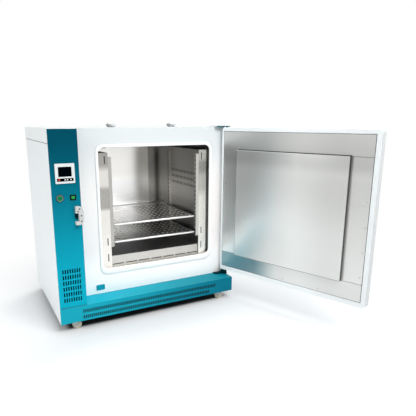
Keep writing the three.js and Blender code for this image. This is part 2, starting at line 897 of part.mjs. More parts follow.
function buttonBezel() {
  const flange = barAlong('y', buttonRingRadius, [-buttonRingHeight, -fitGap], [buttonX, switchHeight]);
  const barrel = barAlong('y', buttonBarrelRadius, [-buttonRingHeight, buttonBarrelLength],
    [buttonX, switchHeight]);
  const bore = barAlong('y', buttonCapRadius + fitGap,
    [-buttonRingHeight - cutOverrun, buttonCapLength + buttonTravel], [buttonX, switchHeight]);
  return flange.add(barrel).subtract(bore);
}

function buttonCap() {
  return barAlong('y', buttonCapRadius, [0, buttonCapLength], [0, 0]);
}

function rockerFrame() {
  const xRange = [rockerX - rockerWidth / 2, rockerX + rockerWidth / 2];
  const zRange = [switchHeight - rockerHeight / 2, switchHeight + rockerHeight / 2];
  const rim = block(xRange, [-rockerProud, -fitGap], zRange);
  const can = block(grownBy(rockerHole.x, -fitGap), [-fitGap - joinLap, rockerBodyDepth],
    grownBy(rockerHole.z, -fitGap));
  const well = block(grownBy(xRange, -rockerRim), [-rockerProud - cutOverrun, rockerBodyDepth / 2],
    grownBy(zRange, -rockerRim));
  return rim.add(can).subtract(well);
}

// A paddle with a hollow face, drawn about its pivot, which lies along Z
function rockerPaddle() {
  const halfX = rockerWidth / 2 - rockerRim - fitGap;
  const halfZ = rockerHeight / 2 - rockerRim - fitGap;
  const front = -rockerProud - rockerPivotDepth;
  const shape = new THREE.Shape();
  shape.moveTo(-halfX + fitGap * 2, front - rockerPaddleRise / 2);
  shape.quadraticCurveTo(0, front + rockerPaddleRise, halfX - fitGap * 2, front - rockerPaddleRise / 2);
  shape.lineTo(halfX * rockerBackShare, rockerPivotDepth);
  shape.lineTo(-halfX * rockerBackShare, rockerPivotDepth);
  const geometry = new THREE.ExtrudeGeometry(shape,
    { depth: 2 * halfZ, bevelEnabled: false, curveSegments: paddleSteps });
  geometry.translate(0, 0, -halfZ);
  return solidOf(geometry);
}

// Latch keeper: a D-shaped plate, a block at its top, and a lip of the same outline hanging from the block
const keeperRight = columnWidth + keeperOverhang;
const keeperLeft = keeperRight - keeperWidth;
const keeperBottom = ledgeTop + keeperAboveLedge;
const keeperTop = keeperBottom + keeperHeight;
const keeperMiddle = (keeperBottom + keeperTop) / 2;

function keeperOutline(left, right, bottom, top) {
  const shape = new THREE.Shape();
  shape.moveTo(left, bottom);
  shape.lineTo((left + right) / 2, bottom);
  shape.quadraticCurveTo(right, bottom, right, (bottom + top) / 2);
  shape.quadraticCurveTo(right, top, (left + right) / 2, top);
  shape.lineTo(left, top);
  return shape;
}

const keeperFaces = {
  plate: [-fitGap - keeperPlate, -fitGap],
  gap: [-fitGap - keeperPlate - keeperGap, -fitGap - keeperPlate],
  lip: [-fitGap - keeperPlate - keeperGap - keeperLip, -fitGap - keeperPlate - keeperGap],
};

function latchKeeper() {
  const outline = keeperOutline(keeperLeft, keeperRight, keeperBottom, keeperTop);
  const whole = pushedBack(outline, [keeperFaces.lip[0], keeperFaces.plate[1]]);
  const blockBottom = keeperTop - keeperTopBlock;
  const behindLip = block([keeperLeft - cutOverrun, keeperRight + cutOverrun], keeperFaces.gap,
    [keeperBottom - cutOverrun, blockBottom]);
  const window = block([keeperLeft - cutOverrun, keeperRight - keeperLipWidth],
    [keeperFaces.lip[0] - cutOverrun, keeperFaces.plate[1] + cutOverrun],
    [keeperBottom + keeperFoot, blockBottom]);
  return without(whole, [behindLip, window]);
}

// Door, drawn closed
const doorInner = panelFace - gasketHeight - 2 * fitGap;
const doorOuter = doorInner - doorThickness;
const doorShellInner = doorInner - innerSheet - fitGap;
const doorLeft = columnWidth + doorColumnGap;
const doorRight = cabinetWidth + doorOverhang;
const doorBottom = ledgeTop + doorBottomGap;
const doorTop = roofTop - doorTopGap;
const hingeX = cabinetWidth - hingePinInset;
const hingeY = panelFace - hingePinSetback;
const doorLinerX = [doorLeft + doorLinerSideInset, doorRight - doorLinerHingeInset];
const doorLinerZ = [doorBottom + doorLinerBottomInset, doorTop - doorLinerTopInset];
const plugX = [chamberLeft + plugSideClearance, chamberRight - plugSideClearance];
const plugZ = [chamberFloor + plugBottomClearance, chamberTop - plugTopClearance];

function doorPinHoles() {
  return [[doorBottom - cutOverrun, doorBottom + hingePinReach + cutOverrun],
    [doorTop - hingePinReach - cutOverrun, doorTop + cutOverrun]].map((range) => barAlong(
    'z', hingePinRadius + fitGap, range, [hingeX, hingeY], fineSides));
}

function doorShell() {
  const outline = roundedRectangle([doorLeft, doorRight], [doorBottom, doorTop], doorCorner);
  const body = pushedBack(outline, [doorOuter, doorShellInner], { bevel: doorEdge });
  const hollow = block(
    grownBy([doorLeft, doorRight], -outerSheet),
    [doorOuter + outerSheet, doorShellInner - outerSheet],
    grownBy([doorBottom, doorTop], -outerSheet),
  );
  const edge = pushedBack(
    roundedRectangle(grownBy([doorLeft, doorRight], -outerSheet), grownBy([doorBottom, doorTop], -outerSheet),
      doorCorner),
    [doorOuter + outerSheet, doorShellInner - outerSheet],
    { bevel: doorEdge },
  );
  const window = block(
    grownBy([doorLeft, doorRight], -doorFlange),
    [doorShellInner - outerSheet - cutOverrun, doorShellInner + cutOverrun],
    grownBy([doorBottom, doorTop], -doorFlange),
  );
  return without(body, [hollow.intersect(edge), window, ...doorPinHoles()]);
}

function doorLinerFrame() {
  const sheet = block(doorLinerX, [doorInner - innerSheet, doorInner], doorLinerZ);
  const window = block(grownBy(plugX, -plugSeat),
    [doorInner - innerSheet - cutOverrun, doorInner + cutOverrun], grownBy(plugZ, -plugSeat));
  return sheet.subtract(window);
}

function doorPlug() {
  const front = doorInner + fitGap;
  const back = doorInner + plugDepth;
  const outline = roundedRectangle(plugX, plugZ, plugCorner);
  const faced = geometryOf(pushedBack(outline, [-back, -front], { bevel: plugEdge }));
  faced.rotateZ(Math.PI);
  faced.translate(plugX[0] + plugX[1], 0, 0);
  const hollow = pushedBack(
    roundedRectangle(grownBy(plugX, -innerSheet), grownBy(plugZ, -innerSheet), plugCorner - innerSheet),
    [front - cutOverrun, back - innerSheet],
  );
  return solidOf(faced).subtract(hollow);
}

function doorInsulation() {
  const slab = block(
    [doorLeft + outerSheet + fitGap, doorRight - hingePocketWidth],
    [doorOuter + outerSheet + fitGap, doorShellInner - outerSheet - fitGap],
    grownBy([doorBottom, doorTop], -outerSheet - fitGap),
  );
  const edges = pushedBack(
    roundedRectangle(grownBy([doorLeft, doorRight], -outerSheet - fitGap),
      grownBy([doorBottom, doorTop], -outerSheet - fitGap), doorCorner),
    [doorOuter + outerSheet + fitGap, doorShellInner],
    { bevel: doorEdge },
  );
  const bulge = block(
    grownBy(plugX, -plugSeat - fitGap),
    [doorOuter + doorThickness / 2, doorInner + plugDepth - innerSheet - fitGap],
    grownBy(plugZ, -plugSeat - fitGap),
  );
  return slab.intersect(edges).add(bulge);
}

// Hinges: a plate on the roof and a foot on the ledge, each with its pin
function hingeOutline(width, back) {
  const shape = new THREE.Shape();
  const left = hingeX + hingeNoseRadius - width;
  shape.moveTo(left, back);
  shape.lineTo(left, hingeY + hingeNoseRadius / 2);
  shape.lineTo(hingeX - hingeNoseRadius, hingeY);
  shape.absarc(hingeX, hingeY, hingeNoseRadius, Math.PI, Math.PI * 2);
  shape.lineTo(hingeX + hingeNoseRadius, back);
  return shape;
}

function hingePlateSolid(width, back, [z0, z1]) {
  const geometry = new THREE.ExtrudeGeometry(hingeOutline(width, back),
    { depth: z1 - z0, bevelEnabled: false, curveSegments: cornerSteps * 2 });
  geometry.translate(0, 0, z0);
  return solidOf(geometry);
}

function hingeBracketTop() {
  const bottom = roofTop + fitGap;
  const plate = hingePlateSolid(hingePlateWidth, panelFace + hingePlateReach, [bottom, bottom + hingePlate]);
  const pin = barAlong('z', hingePinRadius, [doorTop - hingePinReach, bottom + hingePlate],
    [hingeX, hingeY], fineSides);
  return plate.add(pin);
}

function hingeBracketBottom() {
  const bottom = ledgeTop + fitGap;
  const plateTop = bottom + hingePlate;
  const plate = hingePlateSolid(hingePlateWidth, panelFace - 2 * fitGap, [bottom, plateTop]);
  const boss = barAlong('z', hingeBossRadius, [plateTop - hingePlate / 2, doorBottom - fitGap],
    [hingeX, hingeY]);
  const pin = barAlong('z', hingePinRadius, [doorBottom - hingePlate, doorBottom + hingePinReach],
    [hingeX, hingeY], fineSides);
  const gusset = new THREE.Shape();
  gusset.moveTo(hingeX - hingePlateWidth + hingeNoseRadius + hingeGussetWidth, plateTop - hingePlate / 2);
  gusset.lineTo(hingeX, plateTop - hingePlate / 2);
  gusset.lineTo(hingeX, doorBottom - fitGap);
  gusset.lineTo(hingeX - hingeBossRadius, doorBottom - fitGap);
  const web = pushedBack(gusset, [hingeY - hingeGussetWidth / 2, hingeY + hingeGussetWidth / 2]);
  return joined([plate, boss, pin, web]);
}

// Handle, drawn about its pivot, which lies along Y
const handleX = doorLeft + handlePivotInset;
const handleZ = keeperMiddle;
const tongueBack = keeperFaces.gap[1] - 2 * fitGap;
const tongueFront = keeperFaces.gap[0] + 2 * fitGap;
const hubBack = tongueBack + hubFront;
const hubFace = tongueFront - hubFront;

function handleBase() {
  const plateBack = doorOuter - fitGap;
  const plate = pushedBack(
    roundedRectangle([handleX - handlePlateWidth / 2, handleX + handlePlateWidth / 2],
      [handleZ - handlePlateHeight / 2, handleZ + handlePlateHeight / 2], handlePlateRadius),
    [plateBack - handlePlateThickness, plateBack],
  );
  const boss = barAlong('y', handleBossRadius, [hubBack + fitGap, plateBack], [handleX, handleZ]);
  return plate.add(boss);
}

function handleLever() {
  const hub = barAlong('y', hubRadius, [hubFace, hubBack], [0, 0]);
  const tongue = block([-tongueHalfWidth, tongueHalfWidth], [tongueFront, tongueBack], [-tongueLength, 0]);
  const grip = pushedBack(
    roundedRectangle([0, gripLength], [-gripHalfWidth, gripHalfWidth], gripHalfWidth - gripEdge),
    [hubFace - gripThickness / 2, hubFace + gripThickness / 2],
    { bevel: gripEdge },
  );
  return joined([hub, tongue, grip]);
}

// Roof vents, turned about Z with the roof's surface at zero
function ventCap() {
  const under = chamberTop - ventReach - roofTop;
  const body = turned([
    [ventBoreRadius, under],
    [ventTubeRadius, under],
    [ventTubeRadius, ventCapStand],
    [ventCapRadius, ventCapStand],
    [ventCapRadius, ventCapStand + ventCapHeight - ventRim],
    [ventCapRadius - ventRim, ventCapStand + ventCapHeight],
    [0, ventCapStand + ventCapHeight],
    [0, ventCapStand + ventRim],
    [ventBoreRadius, ventCapStand + ventRim],
  ], middleSides);
  const tab = block([-ventTabWidth / 2, ventTabWidth / 2],
    [-ventCapRadius - ventTabLength, -ventCapRadius + ventRim],
    [ventCapStand, ventCapStand + ventCapHeight - ventRim]);
  const seat = turned([
    [ventTubeRadius - ventRim / 2, fitGap],
    [ventCapRadius - ventRim, fitGap],
    [ventTubeRadius + ventRim / 2, ventCapStand + ventRim / 2],
    [ventTubeRadius - ventRim / 2, ventCapStand + ventRim / 2],
  ], middleSides);
  return joined([body, tab, seat]);
}

// Underframe: a plate inside the skirt and two hat rails that carry the chamber's jacket
function baseFrame() {
  const z0 = skirtBottom + frameRise;
  const plate = block(
    [sheetFold + fitGap, cabinetWidth - sheetFold - fitGap],
    [outerSheet + fitGap, rearFace - frameInset],
    [z0, frameTop],
  );
  const saddles = [saddleInset, cabinetDepth - stepDepth - saddleInset].map((setback) => {
    const y = panelFace + setback - saddleWidth / 2;
    return boxWalls(
      [partitionRight + fitGap, cabinetWidth - sheetFold - fitGap],
      [y, y + saddleWidth],
      [frameTop - framePlate / 2, saddleTop],
      saddleSheet,
      ['left', 'right', 'bottom'],
    );
  });
  const holes = casterSpots().map(([x, y]) => barAlong('z', casterPinRadius + fitGap,
    [z0 - cutOverrun, frameTop + cutOverrun], [x, y], fineSides));
  return without(joined([plate, ...saddles]), holes);
}

function casterSpots() {
  const ys = [casterSetback, cabinetDepth - casterSetback - casterHeadRadius];
  const xs = [casterInset, cabinetWidth - casterInset];
  return ys.flatMap((y) => xs.map((x) => [x, y]));
}

// Drawn about the swivel axis, floor at zero, wheel trailing towards +X, axle along Y
const forkHead = skirtBottom + frameRise - fitGap;
function casterFork() {
  const head = barAlong('z', casterHeadRadius, [forkHead - casterHeadHeight, forkHead], [0, 0], middleSides);
  const pin = barAlong('z', casterPinRadius, [forkHead - casterHeadHeight, frameTop + fitGap], [0, 0],
    fineSides);
  const inside = casterWheelWidth / 2 + casterLegGap;
  const outside = inside + casterLeg;
  const leg = new THREE.Shape();
  const half = casterLegWidth / 2;
  leg.moveTo(-half, forkHead - casterHeadHeight / 2);
  leg.lineTo(casterTrail - half, casterWheelRadius);
  leg.absarc(casterTrail, casterWheelRadius, half, Math.PI, Math.PI * 2);
  leg.lineTo(casterTrail + half, forkHead - casterHeadHeight / 2);
  const legs = [[-outside, -inside], [inside, outside]].map((range) => pushedBack(leg, range,
    { steps: cornerSteps }));
  const axle = barAlong('y', casterAxleRadius, [-outside - casterLegGap, outside + casterLegGap],
    [casterTrail, casterWheelRadius], fineSides);
  return joined([head, pin, ...legs, axle]);
}

// Drawn about its axle, which lies along Y
function casterWheel() {
  const half = casterWheelWidth / 2;
  const wheel = turned([
    [casterAxleRadius + fitGap, -half],
    [casterWheelRadius - casterWheelCrown, -half],
    [casterWheelRadius, -half / 2],
    [casterWheelRadius, half / 2],
    [casterWheelRadius - casterWheelCrown, half],
    [casterAxleRadius + fitGap, half],
  ]);
  const geometry = geometryOf(wheel);
  geometry.rotateX(Math.PI / 2);
  return solidOf(geometry);
}

function mainsInlet() {
  const spot = [inletFromLeft, ledgeTop + inletHeight];
  const shank = barAlong('y', inletShank, [rearFace - inletLength, cabinetDepth + inletLength], spot);
  const flangeBack = cabinetDepth + fitGap + inletFlange;
  const flange = barAlong('y', inletFlangeRadius, [cabinetDepth + fitGap, flangeBack], spot);
  const nut = barAlong('y', inletNutRadius, [cabinetDepth + inletFlange, cabinetDepth + inletLength], spot,
    nutSides);
  const bore = barAlong('y', inletBoreRadius,
    [rearFace - inletLength - cutOverrun, cabinetDepth + inletLength + cutOverrun], spot, fineSides);
  return joined([shank, flange, nut]).subtract(bore);
}

// Assembly
const cabinet = new THREE.Group();
oven.add(cabinet);

place(cabinet, 'base_frame', baseFrame(), zincSteel);
place(cabinet, 'base_cover', baseCover(), tealPaint);
place(cabinet, 'column_cover', columnCover(), tealPaint);
place(cabinet, 'left_side_panel', leftSidePanel(), whitePaint);
place(cabinet, 'right_side_panel', rightSidePanel(), whitePaint);
place(cabinet, 'rear_panel', rearPanel(), whitePaint);
place(cabinet, 'top_cover', topCover(), whitePaint);
place(cabinet, 'front_panel', frontPanel(), whitePaint);
place(cabinet, 'bay_partition', bayPartition(), zincSteel);
place(cabinet, 'insulation_jacket', insulationJacket(), mineralWool);
place(cabinet, 'chamber_liner', chamberLiner(), stainless);
place(cabinet, 'mouth_gasket', mouthGasket(), whiteRubber);
place(cabinet, 'duct_left', duct(), stainless, [chamberLeft, 0, 0]);
place(cabinet, 'duct_right', mirrored(duct()), stainless, [chamberRight, 0, 0]);
place(cabinet, 'floor_cover', floorCover(), stainless);

['front', 'rear'].forEach((end, index) => {
  const y = uprightFronts[index];
  const z = chamberFloor + uprightFoot;
  place(cabinet, `shelf_upright_${end}_left`, shelfUpright(), stainless, [chamberLeft + uprightOuter, y, z]);
  place(cabinet, `shelf_upright_${end}_right`, mirrored(shelfUpright()), stainless,
    [chamberRight - uprightOuter, y, z]);
});

[['upper', upperShelfHeight], ['lower', lowerShelfHeight]].forEach(([level, height]) => {
  const shelfTop = chamberFloor + height;
  const railZ = shelfTop - shelfLip - fitGap - innerSheet;
  const railX = uprightInner + fitGap;
  place(cabinet, `shelf_rail_${level}_left`, shelfRail(), stainless, [chamberLeft + railX, ductFront, railZ]);
  place(cabinet, `shelf_rail_${level}_right`, mirrored(shelfRail()), stainless,
    [chamberRight - railX, ductFront, railZ]);
  place(cabinet, `shelf_${level}`, shelf(), stainless, [chamberMiddle, shelfFront, shelfTop]);
});

place(cabinet, 'heater_element', heater(), heaterSheath);
place(cabinet, 'fan_motor', fanMotor(), motorPaint);
place(cabinet, 'blower_wheel', blowerWheel(), stainless,
  [partitionLeft - motorLength / 2, fanY, fanZ]);
place(cabinet, 'temperature_probe', temperatureProbe(), stainless);

place(cabinet, 'controller_body', controllerBody(), whitePlastic);
place(cabinet, 'display_insert', displayInsert(), blackPlastic);
['key_set', 'key_shift', 'key_down', 'key_up'].forEach((name, index) => {
  const { x, z, radius } = keys[index];
  place(cabinet, name, key(radius), index === 0 ? redPlastic : whitePlastic,
    [x, -bezelProud + windowRecess - keyLift, z]);
});
place(cabinet, 'button_bezel', buttonBezel(), chrome);
place(cabinet, 'button_cap', buttonCap(), greenPlastic,
  [buttonX, -buttonRingHeight - buttonCapLift, switchHeight]);
place(cabinet, 'rocker_frame', rockerFrame(), blackPlastic);
place(cabinet, 'rocker_paddle', rockerPaddle(), greenPlastic, [rockerX, rockerPivotDepth, switchHeight]);
place(cabinet, 'latch_keeper', latchKeeper(), chrome);
place(cabinet, 'hinge_bracket_top', hingeBracketTop(), tealPaint);
place(cabinet, 'hinge_bracket_bottom', hingeBracketBottom(), tealPaint);

ventPlaces.forEach(([x, y], index) => {
  place(cabinet, `vent_cap_${['left', 'right'][index]}`, ventCap(), greyPlastic, [x, y, roofTop]);
});
place(cabinet, 'mains_inlet', mainsInlet(), blackPlastic);

const casterNames = ['front_left', 'front_right', 'rear_left', 'rear_right'];
casterSpots().forEach(([x, y], index) => {
  const caster = new THREE.Group();
  caster.position.set(x, y, 0);
  caster.rotation.z = casterTurn * degree;
  cabinet.add(caster);
  place(caster, `caster_fork_${casterNames[index]}`, casterFork(), zincSteel);
  place(caster, `caster_wheel_${casterNames[index]}`, casterWheel(), casterWheelPlastic,
    [casterTrail, 0, casterWheelRadius]);
});

// The door swings about its pins: the outer group turns, the inner one holds the closed door
const doorSwing = new THREE.Group();
doorSwing.position.set(hingeX, hingeY, 0);
doorSwing.rotation.z = doorOpenAngle * degree;
cabinet.add(doorSwing);
const door = new THREE.Group();
door.position.set(-hingeX, -hingeY, 0);
doorSwing.add(door);

place(door, 'door_shell', doorShell(), whitePaint);
place(door, 'door_liner_frame', doorLinerFrame(), stainless);
place(door, 'door_plug', doorPlug(), stainless);
place(door, 'door_insulation', doorInsulation(), mineralWool);
place(door, 'handle_base', handleBase(), chrome);
place(door, 'handle_lever', handleLever(), blackPlastic, [handleX, 0, handleZ]);

// Origin: the middle of the footprint, door open, on the floor
cabinet.updateMatrixWorld(true);
const footprint = new THREE.Box3().setFromObject(cabinet, true);
cabinet.position.set(
  -(footprint.min.x + footprint.max.x) / 2,
  -(footprint.min.y + footprint.max.y) / 2,
  -footprint.min.z,
);

export default oven;
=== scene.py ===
"""A laboratory drying oven on casters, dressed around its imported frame."""

import json
import math

import bmesh
import bpy
from bpy.props import FloatProperty, FloatVectorProperty, IntProperty, PointerProperty
from mathutils import Matrix, Vector

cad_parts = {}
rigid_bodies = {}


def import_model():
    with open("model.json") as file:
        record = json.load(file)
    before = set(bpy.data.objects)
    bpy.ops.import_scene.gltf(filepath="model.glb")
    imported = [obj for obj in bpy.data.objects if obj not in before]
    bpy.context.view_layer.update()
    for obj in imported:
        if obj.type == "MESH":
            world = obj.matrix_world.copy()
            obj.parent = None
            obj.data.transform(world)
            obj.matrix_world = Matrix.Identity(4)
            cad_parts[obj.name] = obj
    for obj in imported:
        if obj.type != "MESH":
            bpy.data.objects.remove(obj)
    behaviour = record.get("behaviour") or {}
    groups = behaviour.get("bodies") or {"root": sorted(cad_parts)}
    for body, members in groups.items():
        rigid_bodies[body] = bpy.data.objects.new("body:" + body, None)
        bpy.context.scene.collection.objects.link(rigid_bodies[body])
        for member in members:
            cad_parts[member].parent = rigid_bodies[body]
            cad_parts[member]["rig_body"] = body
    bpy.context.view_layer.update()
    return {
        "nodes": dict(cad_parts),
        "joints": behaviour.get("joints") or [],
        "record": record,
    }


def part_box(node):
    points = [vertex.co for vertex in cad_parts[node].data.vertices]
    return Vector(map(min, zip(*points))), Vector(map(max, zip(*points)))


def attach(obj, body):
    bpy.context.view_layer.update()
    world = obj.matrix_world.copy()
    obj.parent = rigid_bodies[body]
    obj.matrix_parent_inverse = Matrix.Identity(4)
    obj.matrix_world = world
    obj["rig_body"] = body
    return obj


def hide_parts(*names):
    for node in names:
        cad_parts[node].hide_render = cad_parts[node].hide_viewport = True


bl_info = {
    "name": "Laboratory Drying Oven",
    "version": (1, 0, 0),
    "blender": (4, 5, 0),
    "location": "View3D > Sidebar > Oven",
    "description": "Builds a laboratory drying oven with its door standing open",
    "category": "Add Mesh",
}

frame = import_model()
NODES = frame["nodes"]
RECORD = frame["record"]
SLOTS = {row["node"]: row["material_slot"] for row in RECORD["subparts"]}
JOINTS = {joint["name"]: joint for joint in frame["joints"]}

MM = 0.001

# Corners nearer to each other than this are welded
WELD = 2e-5

# Directions, as seen by someone who stands in front of the cabinet
UP = (0.0, 0.0, 1.0)
RIGHTWARD = (1.0, 0.0, 0.0)
LEFTWARD = (-1.0, 0.0, 0.0)
FORWARD = (0.0, -1.0, 0.0)
BACKWARD = (0.0, 1.0, 0.0)

# The door is modelled closed and turned open about its pins
DOOR_HINGE = Vector(JOINTS["door_hinge"]["pos_m"])
DOOR_TURN = -math.radians(JOINTS["door_hinge"]["range_deg"][0])
TO_OPEN = (Matrix.Translation(DOOR_HINGE) @ Matrix.Rotation(DOOR_TURN, 4, "Z")
           @ Matrix.Translation(-DOOR_HINGE))
TO_CLOSED = TO_OPEN.inverted()

# Sheet thicknesses, and the cabinet's lines that other places are measured from
SHEET = 1.5 * MM
THIN_SHEET = 1.2 * MM
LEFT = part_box("column_cover")[0].x
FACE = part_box("column_cover")[0].y
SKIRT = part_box("base_cover")[0].z
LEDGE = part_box("base_cover")[1].z
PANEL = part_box("front_panel")[0].y
PANEL_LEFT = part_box("front_panel")[0].x
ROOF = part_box("top_cover")[1].z
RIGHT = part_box("base_cover")[1].x
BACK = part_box("rear_panel")[1].y
LINER_LOW, LINER_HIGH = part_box("chamber_liner")
CHAMBER_FLOOR = LINER_LOW.z + THIN_SHEET

# Photograph's camera, measured from the cabinet's left front corner at the skirt
EYE_OFFSET = Vector((-0.2941, -1.6971, 0.8229))
EYE_PITCH = 76.212
EYE_YAW = -27.554
EYE_LENS = 37.41
EYE_SHIFT = (0.0482, 0.0452)

# Edges past this angle between their faces, in degrees, are rounded
ROUNDED_ANGLE = 40.0

# Radii on edges that no setting changes
CAP_EDGE = 0.2 * MM
FINE_EDGE = 0.3 * MM
MOULDED_EDGE = 0.8 * MM
HANDLE_EDGE = 1.2 * MM
KEEPER_EDGE = 2.6 * MM


class OvenSizes(bpy.types.PropertyGroup):
    """Sizes a user may change."""

    edge: FloatProperty(
        name="Sheet edge", description="Radius on the edges of the sheet metal",
        default=0.5 * MM, unit="LENGTH")
    casting_edge: FloatProperty(
        name="Solid edge", description="Radius on the edges of solid pieces",
        default=0.9 * MM, unit="LENGTH")
    shelf_pitch: FloatProperty(
        name="Shelf hole pitch", description="Distance between the holes of a row",
        default=25.2 * MM, unit="LENGTH")
    shelf_row: FloatProperty(
        name="Shelf row pitch", description="Distance between the rows of holes of a shelf",
        default=38.0 * MM, unit="LENGTH")
    shelf_hole: FloatProperty(
        name="Shelf hole", description="Radius of the flared holes of a shelf",
        default=5.0 * MM, unit="LENGTH")
    upright_pitch: FloatProperty(
        name="Upright slot pitch", description="Distance between the slots of an upright",
        default=20.0 * MM, unit="LENGTH")
    screw_radius: FloatProperty(
        name="Screw head", description="Radius of a screw's head",
        default=3.4 * MM, unit="LENGTH")
    badge_width: FloatProperty(
        name="Badge width", description="Width of the bare badge on the front panel",
        default=39.0 * MM, unit="LENGTH")
    round_sides: IntProperty(
        name="Round sides", description="Sides of a large round piece", default=64, min=12)


class OvenColours(bpy.types.PropertyGroup):
    """Colours a user may change, as linear values."""

    teal_low: FloatVectorProperty(
        name="Column foot", description="Paint at the foot of the column",
        default=(0.003, 0.36, 0.49), size=3, subtype="COLOR")
    # The head colour is the column's one teal paint darkened by painted shade and reflection, not a second
    # paint
    teal_head_shaded: FloatVectorProperty(
        name="Column head", description="Paint at the head of the column",
        default=(0.0, 0.058, 0.093), size=3, subtype="COLOR")
    teal_base: FloatVectorProperty(
        name="Base", description="Paint of the base cover",
        default=(0.01, 0.35, 0.455), size=3, subtype="COLOR")
    white: FloatVectorProperty(
        name="White", description="Paint of the cabinet and door",
        default=(0.87, 0.905, 0.91), size=3, subtype="COLOR")
    paint_gloss: FloatProperty(
        name="Paint gloss", description="Gloss of the teal paint", default=0.03, min=0.0, max=1.0,
        subtype="FACTOR")
    steel: FloatVectorProperty(
        name="Chamber steel", description="Brushed stainless sheet of the chamber",
        default=(0.8, 0.78, 0.735), size=3, subtype="COLOR")
    door_steel: FloatVectorProperty(
        name="Door steel", description="Brushed stainless sheet of the door",
        default=(0.78, 0.785, 0.765), size=3, subtype="COLOR")
    floor: FloatVectorProperty(
        name="Floor", description="Studio floor",
        default=(0.84, 0.85, 0.855), size=3, subtype="COLOR")


# Shader groups

def new_group(name, inputs, outputs):
    """A shader node group with its sockets."""
    group = bpy.data.node_groups.new(name, "ShaderNodeTree")
    for label, kind, value in inputs:
        socket = group.interface.new_socket(name=label, in_out="INPUT", socket_type=kind)
        socket.default_value = value
    for label, kind in outputs:
        group.interface.new_socket(name=label, in_out="OUTPUT", socket_type=kind)
    return group, group.nodes.new("NodeGroupInput"), group.nodes.new("NodeGroupOutput")


def stretched(group, place, stretch):
    """A place in object coordinates, drawn out along its axes."""
    drawn = group.nodes.new("ShaderNodeVectorMath")
    drawn.operation = "MULTIPLY"
    group.links.new(place.outputs["Object"], drawn.inputs[0])
    group.links.new(stretch, drawn.inputs[1])
    return drawn.outputs["Vector"]


def grain_group():
    """Noise drawn out along an axis: brushing, casting grain or orange peel."""
    group, inlet, outlet = new_group(
        "drawn_grain",
        [("Stretch", "NodeSocketVector", (1.0, 1.0, 1.0)), ("Scale", "NodeSocketFloat", 100.0),
         ("Cloud Stretch", "NodeSocketVector", (1.0, 1.0, 1.0)),
         ("Cloud Scale", "NodeSocketFloat", 4.0), ("Cloud", "NodeSocketFloat", 0.4)],
        [("Mask", "NodeSocketFloat"), ("Height", "NodeSocketFloat")])
    nodes, links = group.nodes, group.links
    place = nodes.new("ShaderNodeTexCoord")
    noises = []
    for prefix, detail in (("", 3.0), ("Cloud ", 1.5)):
        noise = nodes.new("ShaderNodeTexNoise")
        noise.inputs["Detail"].default_value = detail
        links.new(stretched(group, place, inlet.outputs[prefix + "Stretch"]), noise.inputs["Vector"])
        links.new(inlet.outputs[prefix + "Scale"], noise.inputs["Scale"])
        noises.append(noise.outputs["Fac"])
    fine, cloud = noises
    blend = nodes.new("ShaderNodeMix")
    links.new(inlet.outputs["Cloud"], blend.inputs["Factor"])
    links.new(fine, blend.inputs["A"])
    links.new(cloud, blend.inputs["B"])
    links.new(blend.outputs["Result"], outlet.inputs["Mask"])
    links.new(fine, outlet.inputs["Height"])
    return group


def fade_group():
    """A share that runs from 0 to 1 between two places along an axis."""
    group, inlet, outlet = new_group(
        "fade_along",
        [("Axis", "NodeSocketVector", (0.0, 0.0, 1.0)), ("From", "NodeSocketFloat", 0.0),
         ("To", "NodeSocketFloat", 1.0)],
        [("Share", "NodeSocketFloat")])
    nodes, links = group.nodes, group.links
    place = nodes.new("ShaderNodeTexCoord")
    along = nodes.new("ShaderNodeVectorMath")
    along.operation = "DOT_PRODUCT"
    share = nodes.new("ShaderNodeMapRange")
    share.interpolation_type = "SMOOTHSTEP"
    links.new(place.outputs["Object"], along.inputs[0])
    links.new(inlet.outputs["Axis"], along.inputs[1])
    links.new(along.outputs["Value"], share.inputs["Value"])
    links.new(inlet.outputs["From"], share.inputs["From Min"])
    links.new(inlet.outputs["To"], share.inputs["From Max"])
    links.new(share.outputs["Result"], outlet.inputs["Share"])
    return group


# Finishes

def colour(values):
    """Three values with full opacity."""
    return (values[0], values[1], values[2], 1.0)


def grey(value):
    """Three equal values."""
    return (value, value, value)


def shade(values, factor):
    """A colour made darker or lighter by a factor."""
    return tuple(min(1.0, value * factor) for value in values)


def ratio(far_tint, tint):
    """The tint that turns one colour into another when multiplied."""
    return tuple(far / max(near, 0.001) for far, near in zip(far_tint, tint))


def set_inputs(node, values):
    """Sets a node's inputs by their names."""
    for socket, value in values.items():
        node.inputs[socket].default_value = value


def fade_share(nodes, axis, start, end):
    """The share of a fade between two places along an axis, in a material's own tree."""
    run = nodes.new("ShaderNodeGroup")
    run.node_tree = bpy.data.node_groups["fade_along"]
    set_inputs(run, {"Axis": axis, "From": start, "To": end})
    return run.outputs["Share"]


